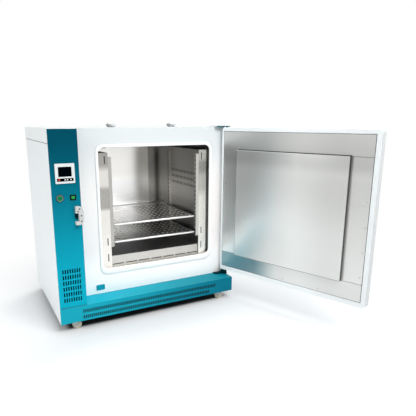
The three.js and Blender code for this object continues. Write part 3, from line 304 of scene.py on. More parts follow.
def finish(name, tint, roughness, *, metallic=0.0, grain=(1.0, 1.0, 1.0), scale=300.0, cloud=0.4,
           cloud_scale=4.0, streak=(1.0, 1.0, 1.0), tone=0.04, gloss=0.06, relief=0.02, fades=(),
           specular=0.5, anisotropic=0.0, turn=0.0):
    """A Principled material whose colour, gloss and relief follow the drawn grain.

    Each fade is an axis, where it starts and ends along it, and the tint at its end.
    """
    material = bpy.data.materials.new(name)
    material.use_nodes = True
    nodes, links = material.node_tree.nodes, material.node_tree.links
    shader = nodes["Principled BSDF"]
    set_inputs(shader, {"Metallic": metallic, "Specular IOR Level": specular,
                        "Anisotropic": anisotropic, "Anisotropic Rotation": turn})
    source = nodes.new("ShaderNodeGroup")
    source.node_tree = bpy.data.node_groups["drawn_grain"]
    set_inputs(source, {"Stretch": grain, "Scale": scale, "Cloud": cloud, "Cloud Stretch": streak,
                        "Cloud Scale": cloud_scale})
    paint = nodes.new("ShaderNodeMix")
    paint.data_type = "RGBA"
    set_inputs(paint, {"A": colour(shade(tint, 1.0 - tone)), "B": colour(shade(tint, 1.0 + tone))})
    links.new(source.outputs["Mask"], paint.inputs["Factor"])
    last = paint
    # Each fade multiplies the colour along an axis; the looks below use fades for painted light, shade and
    # reflections
    for axis, start, end, tint_there in fades:
        faded = nodes.new("ShaderNodeMix")
        faded.data_type = "RGBA"
        faded.blend_type = "MULTIPLY"
        faded.inputs["B"].default_value = colour(tint_there)
        links.new(fade_share(nodes, axis, start, end), faded.inputs["Factor"])
        links.new(last.outputs["Result"], faded.inputs["A"])
        last = faded
    links.new(last.outputs["Result"], shader.inputs["Base Color"])
    spread = nodes.new("ShaderNodeMapRange")
    set_inputs(spread, {"To Min": max(0.02, roughness - gloss), "To Max": roughness + gloss})
    links.new(source.outputs["Mask"], spread.inputs["Value"])
    links.new(spread.outputs["Result"], shader.inputs["Roughness"])
    bump = nodes.new("ShaderNodeBump")
    set_inputs(bump, {"Strength": 0.35, "Distance": relief * MM})
    links.new(source.outputs["Height"], bump.inputs["Height"])
    links.new(bump.outputs["Normal"], shader.inputs["Normal"])
    return material


def look(tint, roughness, **details):
    """A finish that has no name yet."""
    return tint, roughness, details


def fade(axis, origin, start, end, tint):
    """A fade between two distances in millimetres from a place along an axis."""
    return (axis, origin + start * MM, origin + end * MM, tint)


# Brushed steel, with its grain across the cabinet or upward
BRUSHED = {"metallic": 1.0, "cloud": 0.5, "cloud_scale": 7.0, "gloss": 0.06}
ACROSS = {**BRUSHED, "grain": (1.0, 1.0, 40.0), "scale": 60.0, "tone": 0.05}
UPWARD = {**BRUSHED, "grain": (40.0, 40.0, 1.0), "scale": 60.0, "tone": 0.07}


def paint_looks(colours):
    """The teal and white paints in lit and shaded copies, whose tints and fades are painted light and shade
    of the room.
    """
    teal, white = colours.teal_base, colours.white
    painted = {"relief": 0.03, "tone": 0.03, "specular": colours.paint_gloss}
    bright = {"relief": 0.03, "tone": 0.01, "specular": 0.3}
    matt = {"relief": 0.03, "tone": 0.01, "specular": 0.15}
    return {
        # The column darkens upward: painted shade and reflection
        "column_teal": look(colours.teal_low, 0.32, **painted, fades=(
            (UP, LEDGE, ROOF, ratio(colours.teal_head_shaded, colours.teal_low)),)),
        # The base darkens to the right: painted shade and reflection
        "base_teal": look(teal, 0.32, **painted, fades=((RIGHTWARD, LEFT, RIGHT, (0.3, 0.44, 0.5)),)),
        # Upward faces of the base: a lighter copy of its teal as painted light, darker to the right as
        # painted shade
        "ledge_teal_lit": look(shade(teal, 1.42), 0.32, **painted, fades=(
            (RIGHTWARD, LEFT, RIGHT, grey(0.5)),)),
        "hinge_teal": look(shade(teal, 0.3), 0.35, **painted),
        "hinge_dark": look(shade(teal, 0.08), 0.4, **painted),
        # Side panels darker towards the top: painted shade
        "white_enamel": look(shade(white, 1.08), 0.38, **bright, fades=(
            fade(UP, LEDGE, 136, 666, grey(0.93)),)),
        # Front faces: a separate copy of the white, darker towards the top: painted shade
        "panel_enamel_shaded": look((1.0, 0.965, 0.95), 0.38, **bright, fades=(
            fade(UP, LEDGE, 76, 226, grey(0.86)), fade(UP, LEDGE, 426, 686, (0.75, 0.82, 0.84)))),
        # The roof: a darker copy of the white, painted shade against the overhead lamp
        "roof_enamel_shaded": look(shade(white, 0.68), 0.38, **matt),
        # The door's outer face and free edge: darker copies of the white as painted shade
        "door_outside_shaded": look(shade(white, 0.86), 0.38, **matt),
        "door_edge_shaded": look(shade(white, 0.64), 0.38, **matt),
        # The door's border darkens towards the open door's free end: painted shade
        "door_enamel": look(shade(white, 1.02), 0.38, **matt, fades=(
            fade(FORWARD, -FACE, 307, 567, grey(0.88)),)),
    }


def chamber_looks(steel):
    """The sheets of the chamber: one brushed steel in lit and shaded copies, whose tints and fades are
    painted light, shade and reflections of the room.
    """
    streaked = {**UPWARD, "cloud": 0.85, "cloud_scale": 6.0, "streak": (2.4, 2.4, 0.2), "tone": 0.12}
    deck_left = LINER_LOW.x + 190 * MM
    # Painted reflections on the back wall: darker right of a line, lighter low down
    back_fades = (fade(RIGHTWARD, LINER_LOW.x, 397, 405, grey(0.5)),
                  fade(UP, CHAMBER_FLOOR, 384, 274, grey(1.3)))
    # Painted reflections on the duct walls: a lighter band at mid height, darker near the top
    wall_fades = (fade(UP, CHAMBER_FLOOR, 224, 274, grey(1.35)),
                  fade(UP, CHAMBER_FLOOR, 294, 414, grey(0.55)))
    # Painted reflections up the front flanges in light and dark bands; the left flange is a darker copy than
    # the right
    flange_left_fades = (fade(UP, CHAMBER_FLOOR, 254, 274, grey(0.52)),
                         fade(UP, CHAMBER_FLOOR, 349, 374, grey(1.75)),
                         fade(UP, CHAMBER_FLOOR, 424, 464, grey(0.5)))
    flange_right_fades = (fade(UP, CHAMBER_FLOOR, 274, 334, grey(0.7)),
                          fade(UP, CHAMBER_FLOOR, 374, 424, grey(0.62)),
                          fade(UP, CHAMBER_FLOOR, 444, 474, grey(1.7)))
    # Painted light: the front uprights lighter to the right, the rear ones darker towards the top
    upright_fades = ((RIGHTWARD, LINER_LOW.x + 60 * MM, LINER_HIGH.x - 60 * MM, grey(1.45)),)
    rear_fades = (fade(UP, CHAMBER_FLOOR, 294, 414, grey(0.65)),)
    # Painted reflections: the hole flares darker to the left, the deck darker to the right
    flare_fades = (fade(LEFTWARD, -deck_left, -110, 60, grey(0.12)),)
    deck_fades = (fade(RIGHTWARD, deck_left, 30, 150, grey(0.34)),)
    return {
        "steel_wall": look(shade(steel, 1.22), 0.23, **streaked, anisotropic=0.5, turn=0.25,
                           fades=back_fades),
        "steel_shade": look(shade(steel, 0.05), 0.35, **UPWARD),
        "steel_duct": look(shade(steel, 0.5), 0.42, **UPWARD, fades=wall_fades),
        "steel_flange_left": look(shade(steel, 1.05), 0.28, **UPWARD, fades=flange_left_fades),
        "steel_flange_right": look(shade(steel, 1.2), 0.26, **UPWARD, fades=flange_right_fades),
        "steel_upright": look(shade(steel, 0.6), 0.34, **UPWARD, fades=upright_fades),
        "steel_upright_rear": look(shade(steel, 0.95), 0.34, **UPWARD, fades=rear_fades),
        "steel_flare": look(shade(steel, 1.1), 0.4, **{**ACROSS, "metallic": 0.4}, fades=flare_fades),
        # A copy of the steel for the slotted sides of the front uprights, tuned apart from their fronts:
        # painted light
        "steel_slotted_lit": look(shade(steel, 0.62), 0.4, **{**UPWARD, "metallic": 0.6}),
        "steel_riser": look(shade(steel, 0.76), 0.3, **ACROSS),
        # Dark grey copy of the steel: painted shade under the lower shelf
        "steel_floor_shaded": look(grey(0.44), 0.35, **ACROSS),
        "steel_deck": look(shade(steel, 1.2), 0.24, metallic=1.0, grain=(40.0, 1.0, 1.0), scale=60.0,
                           cloud=0.8, cloud_scale=6.0, streak=(8.0, 0.8, 1.0), tone=0.3,
                           fades=deck_fades),
        "steel_rim": look((0.95, 0.95, 0.93), 0.34, **ACROSS),
        # Near-black copy of the steel: painted shade in the gap along the shelf rails
        "steel_rail_shaded": look((0.02, 0.024, 0.035), 0.4, **ACROSS),
    }


def door_looks(steel):
    """The sheets inside the door: one steel in lit and shaded copies, whose tints and fades are painted
    light, shade and reflections of the room.
    """
    sheet = {**ACROSS, "grain": (0.3, 0.3, 40.0), "streak": (0.3, 0.3, 4.0), "cloud_scale": 9.0,
             "relief": 0.0, "tone": 0.02, "gloss": 0.015}
    slant = (0.0, 0.8, -0.6)
    slant_start = slant[1] * FACE + slant[2] * LEDGE
    # Painted shade and reflections: darker towards the top and the free end, lighter near the hinge, a
    # slanting darker band on the plug, and a teal reflection on the bottom strip near the hinge
    fades = (fade(UP, LEDGE, 286, 526, grey(0.84)), fade(UP, LEDGE, 536, 592, grey(0.78)),
             fade(FORWARD, -FACE, 287, 487, grey(0.8)), fade(FORWARD, -FACE, 167, 27, grey(1.1)))
    plug_fades = (*fades, fade(slant, slant_start, -167, -42, (0.84, 0.9, 0.92)))
    low_fades = (*fades, fade(FORWARD, -FACE, 242, 117, (0.34, 0.5, 0.55)))
    return {
        "steel_door": look(steel, 0.3, **{**sheet, "metallic": 0.55}, anisotropic=0.4, fades=plug_fades),
        "steel_strip": look(shade(steel, 1.06), 0.28, **{**sheet, "metallic": 0.75}, fades=fades),
        "steel_strip_low": look(steel, 0.28, **{**sheet, "metallic": 0.75}, fades=low_fades),
        # Dark copy of the door steel: painted shade on the plug's folded sides and on hole walls that face
        # right
        "steel_side_shaded": look((0.11, 0.11, 0.105), 0.4, **ACROSS),
    }


def small_looks():
    """Seams, fittings, plastics, rubber and wool."""
    return {
        # Black for open seams and joints, also used as painted shade behind slots and along edges
        "seam_and_shade_black": look(grey(0.03), 0.6, tone=0.1, specular=0.1),
        # Grey for a line of painted shade beside the door
        "shade_line_grey": look((0.2, 0.19, 0.18), 0.6, tone=0.1, specular=0.1),
        # The dark frame's own colour, also used as painted shade in and behind vent slots
        "frame_dark_and_shade": look((0.015, 0.018, 0.02), 0.7, tone=0.1, specular=0.1),
        "zinc": look((0.42, 0.44, 0.45), 0.45, metallic=1.0, scale=40.0, tone=0.12),
        "chrome": look((0.86, 0.87, 0.88), 0.1, metallic=1.0, tone=0.02, gloss=0.03, relief=0.01),
        "silicone": look((0.93, 0.935, 0.93), 0.5, relief=0.05, tone=0.02, specular=0.3),
        "wool": look((0.55, 0.5, 0.36), 0.95, scale=80.0, tone=0.2, relief=1.0, specular=0.1),
        "black_gloss": look((0.006, 0.008, 0.009), 0.3, tone=0.1, specular=0.06),
        "glass_dark": look((0.0003, 0.0015, 0.003), 0.2, tone=0.1, relief=0.0, specular=0.0),
        "ring_grey": look((0.27, 0.3, 0.28), 0.4, metallic=0.3, tone=0.03, specular=0.1),
        "ring_dark": look((0.05, 0.07, 0.075), 0.45, tone=0.05, specular=0.05),
        "keeper_steel": look((0.55, 0.56, 0.55), 0.4, metallic=0.4, tone=0.08, scale=60.0, specular=0.1),
        # Very dark teal: painted shade for a recess
        "slot_shade_teal": look((0.002, 0.022, 0.028), 0.6, tone=0.1, specular=0.02),
        "white_plastic": look((0.63, 0.655, 0.655), 0.35, scale=500.0, tone=0.02, specular=0.3),
        "white_key": look((0.95, 0.96, 0.96), 0.35, scale=500.0, tone=0.02),
        "red_plastic": look((0.62, 0.02, 0.02), 0.3, tone=0.05),
        "green_plastic": look((0.003, 0.17, 0.06), 0.35, tone=0.06, specular=0.05),
        "lens_green": look((0.012, 0.3, 0.07), 0.3, tone=0.06, specular=0.2),
        "grey_plastic": look((0.3, 0.31, 0.3), 0.45, tone=0.05),
        "caster_cream": look((0.66, 0.63, 0.52), 0.42, tone=0.06),
        "sheath": look((0.2, 0.17, 0.14), 0.55, metallic=1.0, tone=0.2),
        "motor_grey": look((0.09, 0.1, 0.11), 0.5, tone=0.1),
    }


def make_finishes(colours):
    """Every finish of the oven, by its name."""
    looks = {**paint_looks(colours), **chamber_looks(colours.steel), **door_looks(colours.door_steel),
             **small_looks()}
    return {name: finish(name, tint, roughness, **details)
            for name, (tint, roughness, details) in looks.items()}


# Filled by the first operator
FINISHES = {}

# The finish of a plain node follows its material slot, apart from a few nodes
SLOT_FINISH = {
    "teal_paint": "hinge_teal", "white_paint": "white_enamel", "stainless": "steel_duct",
    "zinc_steel": "zinc", "chrome": "chrome", "white_rubber": "silicone", "mineral_wool": "wool",
    "black_plastic": "black_gloss", "white_plastic": "white_plastic", "red_plastic": "red_plastic",
    "green_plastic": "green_plastic", "grey_plastic": "grey_plastic", "caster_plastic": "caster_cream",
    "heater_sheath": "sheath", "motor_paint": "motor_grey",
}
NODE_FINISH = {"base_frame": "frame_dark_and_shade", "bay_partition": "frame_dark_and_shade"}


# Meshes and pieces

def make_object(name, shape, matrix=None):
    """Turns a bmesh into an object at the origin, with outward faces."""
    if matrix is not None:
        shape.transform(matrix)
    bmesh.ops.recalc_face_normals(shape, faces=shape.faces)
    mesh = bpy.data.meshes.new(name)
    shape.to_mesh(mesh)
    shape.free()
    piece = bpy.data.objects.new(name, mesh)
    bpy.context.scene.collection.objects.link(piece)
    return piece


def dress(piece, finish_name, body, covers=()):
    """Gives a piece its finish and its body, and hides the nodes that it stands for."""
    piece.data.materials.clear()
    piece.data.materials.append(FINISHES[finish_name])
    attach(piece, body)
    if covers:
        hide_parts(*covers)
    return piece


def smooth(piece, angle=None):
    """Shades a piece smooth, apart from the edges past an angle in degrees."""
    for face in piece.data.polygons:
        face.use_smooth = True
    if angle is not None:
        piece.data.set_sharp_from_angle(angle=math.radians(angle))
    return piece


def soften(piece, radius, segments=2):
    """Rounds the edges and shades the rest smooth."""
    smooth(piece)
    bevel = piece.modifiers.new("Edges", "BEVEL")
    bevel.width = radius
    bevel.segments = segments
    bevel.limit_method = "ANGLE"
    bevel.angle_limit = math.radians(ROUNDED_ANGLE)
    weighted = piece.modifiers.new("Flat faces", "WEIGHTED_NORMAL")
    weighted.weight = 100
    weighted.keep_sharp = True
    return piece


def add_box(shape, corner, opposite):
    """A closed box between two opposite corners."""
    low = Vector(map(min, corner, opposite))
    high = Vector(map(max, corner, opposite))
    made = bmesh.ops.create_cube(shape, size=1.0)["verts"]
    size, middle = high - low, (low + high) / 2
    for vert in made:
        vert.co = Vector(a * b for a, b in zip(vert.co, size)) + middle
    return made


def join(shape, first, second, skipped=()):
    """Joins two equal rings of corners by faces, apart from the sides that are skipped."""
    for index in range(len(first)):
        after = (index + 1) % len(first)
        if index not in skipped:
            shape.faces.new((first[index], first[after], second[after], second[index]))


def add_loops(shape, loops, closed):
    """Skins a list of equal loops; a closed list joins its last loop to its first."""
    rings = [[shape.verts.new(point) for point in loop] for loop in loops]
    for first, second in zip(rings, rings[1:]):
        join(shape, first, second)
    if closed:
        join(shape, rings[-1], rings[0])
    else:
        shape.faces.new(reversed(rings[0]))
        shape.faces.new(rings[-1])


def add_turned(shape, profile, matrix, sides, closed=False):
    """A profile of (radius, height) turned about Z; an open one is capped at both ends."""
    turns = [2 * math.pi * step / sides for step in range(sides)]
    loops = [[matrix @ Vector((radius * math.cos(turn), radius * math.sin(turn), height)) for turn in turns]
             for radius, height in profile]
    add_loops(shape, loops, closed)


def looking(place, toward):
    """The matrix of a turned piece whose height runs along a direction."""
    return Matrix.Translation(place) @ Vector(toward).to_track_quat("Z", "Y").to_matrix().to_4x4()


def into_panel(x, y, z):
    """The matrix of a turned piece whose height runs from a place on the front into the cabinet."""
    return Matrix.Translation((x, y, z)) @ Matrix.Rotation(math.radians(-90), 4, "X")


def rounded_outline(low, high, radius, steps=8):
    """Points of a rounded rectangle, counter-clockwise from its lower right corner."""
    corners = [((high[0] - radius, low[1] + radius), -90), ((high[0] - radius, high[1] - radius), 0),
               ((low[0] + radius, high[1] - radius), 90), ((low[0] + radius, low[1] + radius), 180)]
    points = []
    for (x, z), start in corners:
        for step in range(steps + 1):
            turn = math.radians(start + 90 * step / steps)
            points.append((x + radius * math.cos(turn), z + radius * math.sin(turn)))
    return points


def add_plate(shape, outline, front, back):
    """An outline in X and Z, closed between two depths."""
    add_loops(shape, [[Vector((x, depth, z)) for x, z in outline] for depth in (front, back)], False)


def rounded_copy(node, finish_name, radius, segments=2):
    """A welded copy of a node with its edges rounded, which stands for the node."""
    shape = bmesh.new()
    shape.from_mesh(NODES[node].data)
    bmesh.ops.remove_doubles(shape, verts=shape.verts, dist=WELD)
    bmesh.ops.dissolve_limit(shape, angle_limit=math.radians(1.0), verts=shape.verts, edges=shape.edges)
    piece = soften(make_object(node + "_skin", shape), radius, segments)
    return dress(piece, finish_name, NODES[node]["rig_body"], (node,))


def looks_to(direction, least=0.5):
    """A test that picks the faces that look along a direction."""
    toward = Vector(direction)
    return lambda face: face.normal.dot(toward) > least


def second_finish(piece, finish_name, chosen):
    """Gives another finish to the faces that a test picks."""
    piece.data.materials.append(FINISHES[finish_name])
    index = len(piece.data.materials) - 1
    for face in piece.data.polygons:
        if chosen(face):
            face.material_index = index


def bar(name, finish_name, body, corner, opposite, matrix=None):
    """A plain strip or core between two opposite corners."""
    shape = bmesh.new()
    add_box(shape, corner, opposite)
    dress(make_object(name, shape, matrix), finish_name, body)


def repeat_tree():
    """Geometry nodes that repeat the incoming piece along two steps and weld the copies."""
    tree = bpy.data.node_groups.new("repeat_on_grid", "GeometryNodeTree")
    face = tree.interface
    face.new_socket(name="Geometry", in_out="INPUT", socket_type="NodeSocketGeometry")
    for label, kind in (("Count A", "NodeSocketInt"), ("Step A", "NodeSocketVector"),
                        ("Count B", "NodeSocketInt"), ("Step B", "NodeSocketVector"),
                        ("Weld", "NodeSocketFloat"), ("Finish", "NodeSocketMaterial")):
        face.new_socket(name=label, in_out="INPUT", socket_type=kind)
    face.new_socket(name="Geometry", in_out="OUTPUT", socket_type="NodeSocketGeometry")
    nodes, links = tree.nodes, tree.links
    inlet = nodes.new("NodeGroupInput")
    outlet = nodes.new("NodeGroupOutput")
    carried = inlet.outputs["Geometry"]
    for letter in ("A", "B"):
        line = nodes.new("GeometryNodeMeshLine")
        line.mode = "OFFSET"
        spread = nodes.new("GeometryNodeInstanceOnPoints")
        links.new(inlet.outputs["Count " + letter], line.inputs["Count"])
        links.new(inlet.outputs["Step " + letter], line.inputs["Offset"])
        links.new(line.outputs["Mesh"], spread.inputs["Points"])
        links.new(carried, spread.inputs["Instance"])
        carried = spread.outputs["Instances"]
    real = nodes.new("GeometryNodeRealizeInstances")
    weld = nodes.new("GeometryNodeMergeByDistance")
    paint = nodes.new("GeometryNodeSetMaterial")
    links.new(carried, real.inputs["Geometry"])
    links.new(real.outputs["Geometry"], weld.inputs["Geometry"])
    links.new(inlet.outputs["Weld"], weld.inputs["Distance"])
    links.new(weld.outputs["Geometry"], paint.inputs["Geometry"])
    links.new(inlet.outputs["Finish"], paint.inputs["Material"])
    links.new(paint.outputs["Geometry"], outlet.inputs["Geometry"])
    return tree


def keep_result(piece, modifier):
    """Makes what a modifier does to a piece its plain mesh."""
    graph = bpy.context.evaluated_depsgraph_get()
    plain = bpy.data.meshes.new_from_object(piece.evaluated_get(graph))
    piece.modifiers.remove(modifier)
    piece.data = plain


def repeated(piece, finish_name, count_a, step_a, count_b=1, step_b=(0.0, 0.0, 0.0), weld=WELD):
    """Runs the repeat tree on a piece and keeps the plain result."""
    tree = bpy.data.node_groups["repeat_on_grid"]
    spread = piece.modifiers.new("Repeat", "NODES")
    spread.node_group = tree
    values = {"Count A": count_a, "Step A": tuple(step_a), "Count B": count_b, "Step B": tuple(step_b),
              "Weld": weld, "Finish": FINISHES[finish_name]}
    for item in tree.interface.items_tree:
        if item.item_type == "SOCKET" and item.in_out == "INPUT" and item.name in values:
            spread[item.identifier] = values[item.name]
    keep_result(piece, spread)


def close_border(piece, close):
    """Closes the open loops of a repeated piece, by filling or by bridging them."""
    shape = bmesh.new()
    shape.from_mesh(piece.data)
    close(shape, edges=[edge for edge in shape.edges if edge.is_boundary])
    bmesh.ops.recalc_face_normals(shape, faces=shape.faces)
    shape.to_mesh(piece.data)
    shape.free()


def punched(piece, cutter):
    """Cuts a cutter out of a piece, and removes the cutter."""
    cut = piece.modifiers.new("Punch", "BOOLEAN")
    cut.operation = "DIFFERENCE"
    cut.solver = "EXACT"
    cut.object = cutter
    keep_result(piece, cut)
    bpy.data.objects.remove(cutter)


def add_screw(shape, matrix, radius):
    """A pan-head screw with a cross on its head, standing on Z."""
    height = radius * 0.5
    profile = [(radius * 0.98, -radius * 0.1), (radius, height * 0.35), (radius * 0.82, height * 0.8),
               (radius * 0.45, height)]
    add_turned(shape, profile, matrix, sides=16)
    arm, wide, deep = radius * 0.62, radius * 0.14, height * 1.06
    for across, along in ((arm, wide), (wide, arm)):
        for vert in add_box(shape, (-across, -along, height * 0.9), (across, along, deep)):
            vert.co = matrix @ vert.co


def screws(name, start, step, count, radius, body, toward, place=None, finish_name="zinc"):
    """A row of screws whose heads look along a direction."""
    shape = bmesh.new()
    add_screw(shape, looking(start, toward), radius)
    piece = make_object(name, shape)
    repeated(piece, finish_name, count, step, weld=0.0)
    if place is not None:
        piece.data.transform(place)
    dress(smooth(piece, angle=35), finish_name, body)


def closed_box(node):
    """The corners of a door node with the door shut."""
    points = [TO_CLOSED @ vert.co for vert in NODES[node].data.vertices]
    return (Vector(min(p[axis] for p in points) for axis in range(3)),
            Vector(max(p[axis] for p in points) for axis in range(3)))


# Operators

class PieceMaker:
    """What the operators share."""

    bl_options = {"REGISTER", "UNDO"}

    @classmethod
    def poll(cls, context):
        return context.scene is not None


class OVEN_OT_finishes(PieceMaker, bpy.types.Operator):
    """Make the finishes and give them to every node"""

    bl_idname = "oven.finishes"
    bl_label = "Finishes"

    def execute(self, context):
        grain_group()
        fade_group()
        repeat_tree()
        FINISHES.update(make_finishes(context.scene.oven_colours))
        for node, piece in NODES.items():
            name = NODE_FINISH.get(node, SLOT_FINISH[SLOTS[node]])
            piece.data.materials.clear()
            piece.data.materials.append(FINISHES[name])
        return {"FINISHED"}


class OVEN_OT_case(PieceMaker, bpy.types.Operator):
    """Dress the painted case with its panels, screws and badge"""

    bl_idname = "oven.case"
    bl_label = "Case"

    def execute(self, context):
        sizes = context.scene.oven_sizes
        slotted_edge = sizes.edge * 0.4
        for node in ("left_side_panel", "right_side_panel", "rear_panel"):
            rounded_copy(node, "white_enamel", sizes.edge)
        for node in ("top_cover", "front_panel"):
            skin = rounded_copy(node, "white_enamel", sizes.edge)
            # Front faces take a copy of the white with painted shade towards the top
            second_finish(skin, "panel_enamel_shaded", looks_to(FORWARD))
            # The roof takes a darker copy of the white: painted shade
            second_finish(skin, "roof_enamel_shaded",
                          lambda face: face.normal.z > 0.9 and face.center.z > ROOF - SHEET)
        base = rounded_copy("base_cover", "base_teal", slotted_edge)
        # The base's top takes the lighter copy of the teal: painted light
        second_finish(base, "ledge_teal_lit", looks_to(UP))
        self.slots(base, (LEFT, RIGHT), (SKIRT, LEDGE))
        self.base_shade()
        column = rounded_copy("column_cover", "column_teal", slotted_edge)
        self.slots(column, (LEFT, PANEL_LEFT), (LEDGE, ROOF))
        self.seams()
        self.badge(sizes)
        self.rear_screws(sizes)
        return {"FINISHED"}

    def slots(self, skin, across, upward):
        """Widens the vent slots of a cover a little and gives their walls painted shade."""
        inset, wider = 6 * MM, 0.3 * MM

        def inside(face):
            x, y, z = face.center
            return (abs(face.normal.y) < 0.5 and FACE < y < FACE + SHEET
                    and across[0] + inset < x < across[1] - inset
                    and upward[0] + inset < z < upward[1] - inset)

        # The slot walls take black: painted shade
        second_finish(skin, "frame_dark_and_shade", inside)
        moves = {}
        for face in skin.data.polygons:
            if inside(face) and abs(face.normal.x) > 0.9:
                for index in face.vertices:
                    moves[index] = -wider * math.copysign(1.0, face.normal.x)
        for index, move in moves.items():
            skin.data.vertices[index].co.x += move

    def base_shade(self):
        """Painted shade: a dark core behind the slots of the base."""
        inset, gap, thick = 10 * MM, 4 * MM, 2 * MM
        bar("base_shade", "frame_dark_and_shade", "cabinet",
            (LEFT + inset, FACE + gap, SKIRT + inset), (RIGHT - inset, FACE + gap + thick, LEDGE - gap))

    def seams(self):
        """Open seams under the top cover and the column's cover, and a line of painted shade beside the door.
        """
        side_seam, column_seam = 1.8 * MM, 2.2 * MM
        behind, reach = 0.5 * MM, 1.0 * MM
        side = bpy.data.objects["left_side_panel_skin"]
        side_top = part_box("left_side_panel")[1].z
        column = bpy.data.objects["column_cover_skin"]
        column_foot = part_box("column_cover")[0].z
        for vert in side.data.vertices:
            if vert.co.z > side_top - SHEET:
                vert.co.z -= side_seam
        for vert in column.data.vertices:
            if vert.co.z < column_foot + SHEET:
                vert.co.z += column_seam
        bar("side_seam", "seam_and_shade_black", "cabinet",
            (LEFT + behind, FACE + SHEET, side_top - side_seam - reach), (LEFT + reach, BACK, side_top))
        bar("column_seam", "seam_and_shade_black", "cabinet",
            (LEFT + SHEET, FACE + behind, column_foot),
            (PANEL_LEFT - SHEET, FACE + reach, column_foot + column_seam + reach))
        # A grey strip on the panel beside the door: painted shade
        line, inset, proud = 1.8 * MM, 0.4 * MM, 0.25 * MM
        above_ledge, below_roof = 60 * MM, 90 * MM
        bar("door_side_shade_line", "shade_line_grey", "cabinet",
            (RIGHT - inset - line, PANEL - proud, LEDGE + above_ledge),
            (RIGHT - inset, PANEL, ROOF - below_roof))

    def badge(self, sizes):
        """A bare plate on the front panel."""
        width, height, thick = sizes.badge_width, 25 * MM, 2 * MM
        corner, edge, gap = 4 * MM, 0.6 * MM, 0.05 * MM
        aside, rise = 180 * MM, 86 * MM
        low_x, low_z = LEFT + aside, SKIRT + rise
        shape = bmesh.new()
        outline = rounded_outline((low_x, low_z), (low_x + width, low_z + height), corner)
        add_plate(shape, outline, PANEL - thick, PANEL - gap)
        plate = soften(make_object("badge_plate", shape), edge, segments=3)
        dress(plate, "base_teal", "cabinet")

    def rear_screws(self, sizes):
        """Screws down both edges of the rear panel."""
        inset, rise, count = 8 * MM, 40 * MM, 7
        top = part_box("rear_panel")[1].z
        step = (top - SKIRT - 2 * rise) / (count - 1)
        for side, x in (("left", LEFT + inset), ("right", RIGHT - inset)):
            screws("rear_screws_" + side, (x, BACK, SKIRT + rise), (0.0, 0.0, step), count,
                   sizes.screw_radius, "cabinet", BACKWARD)


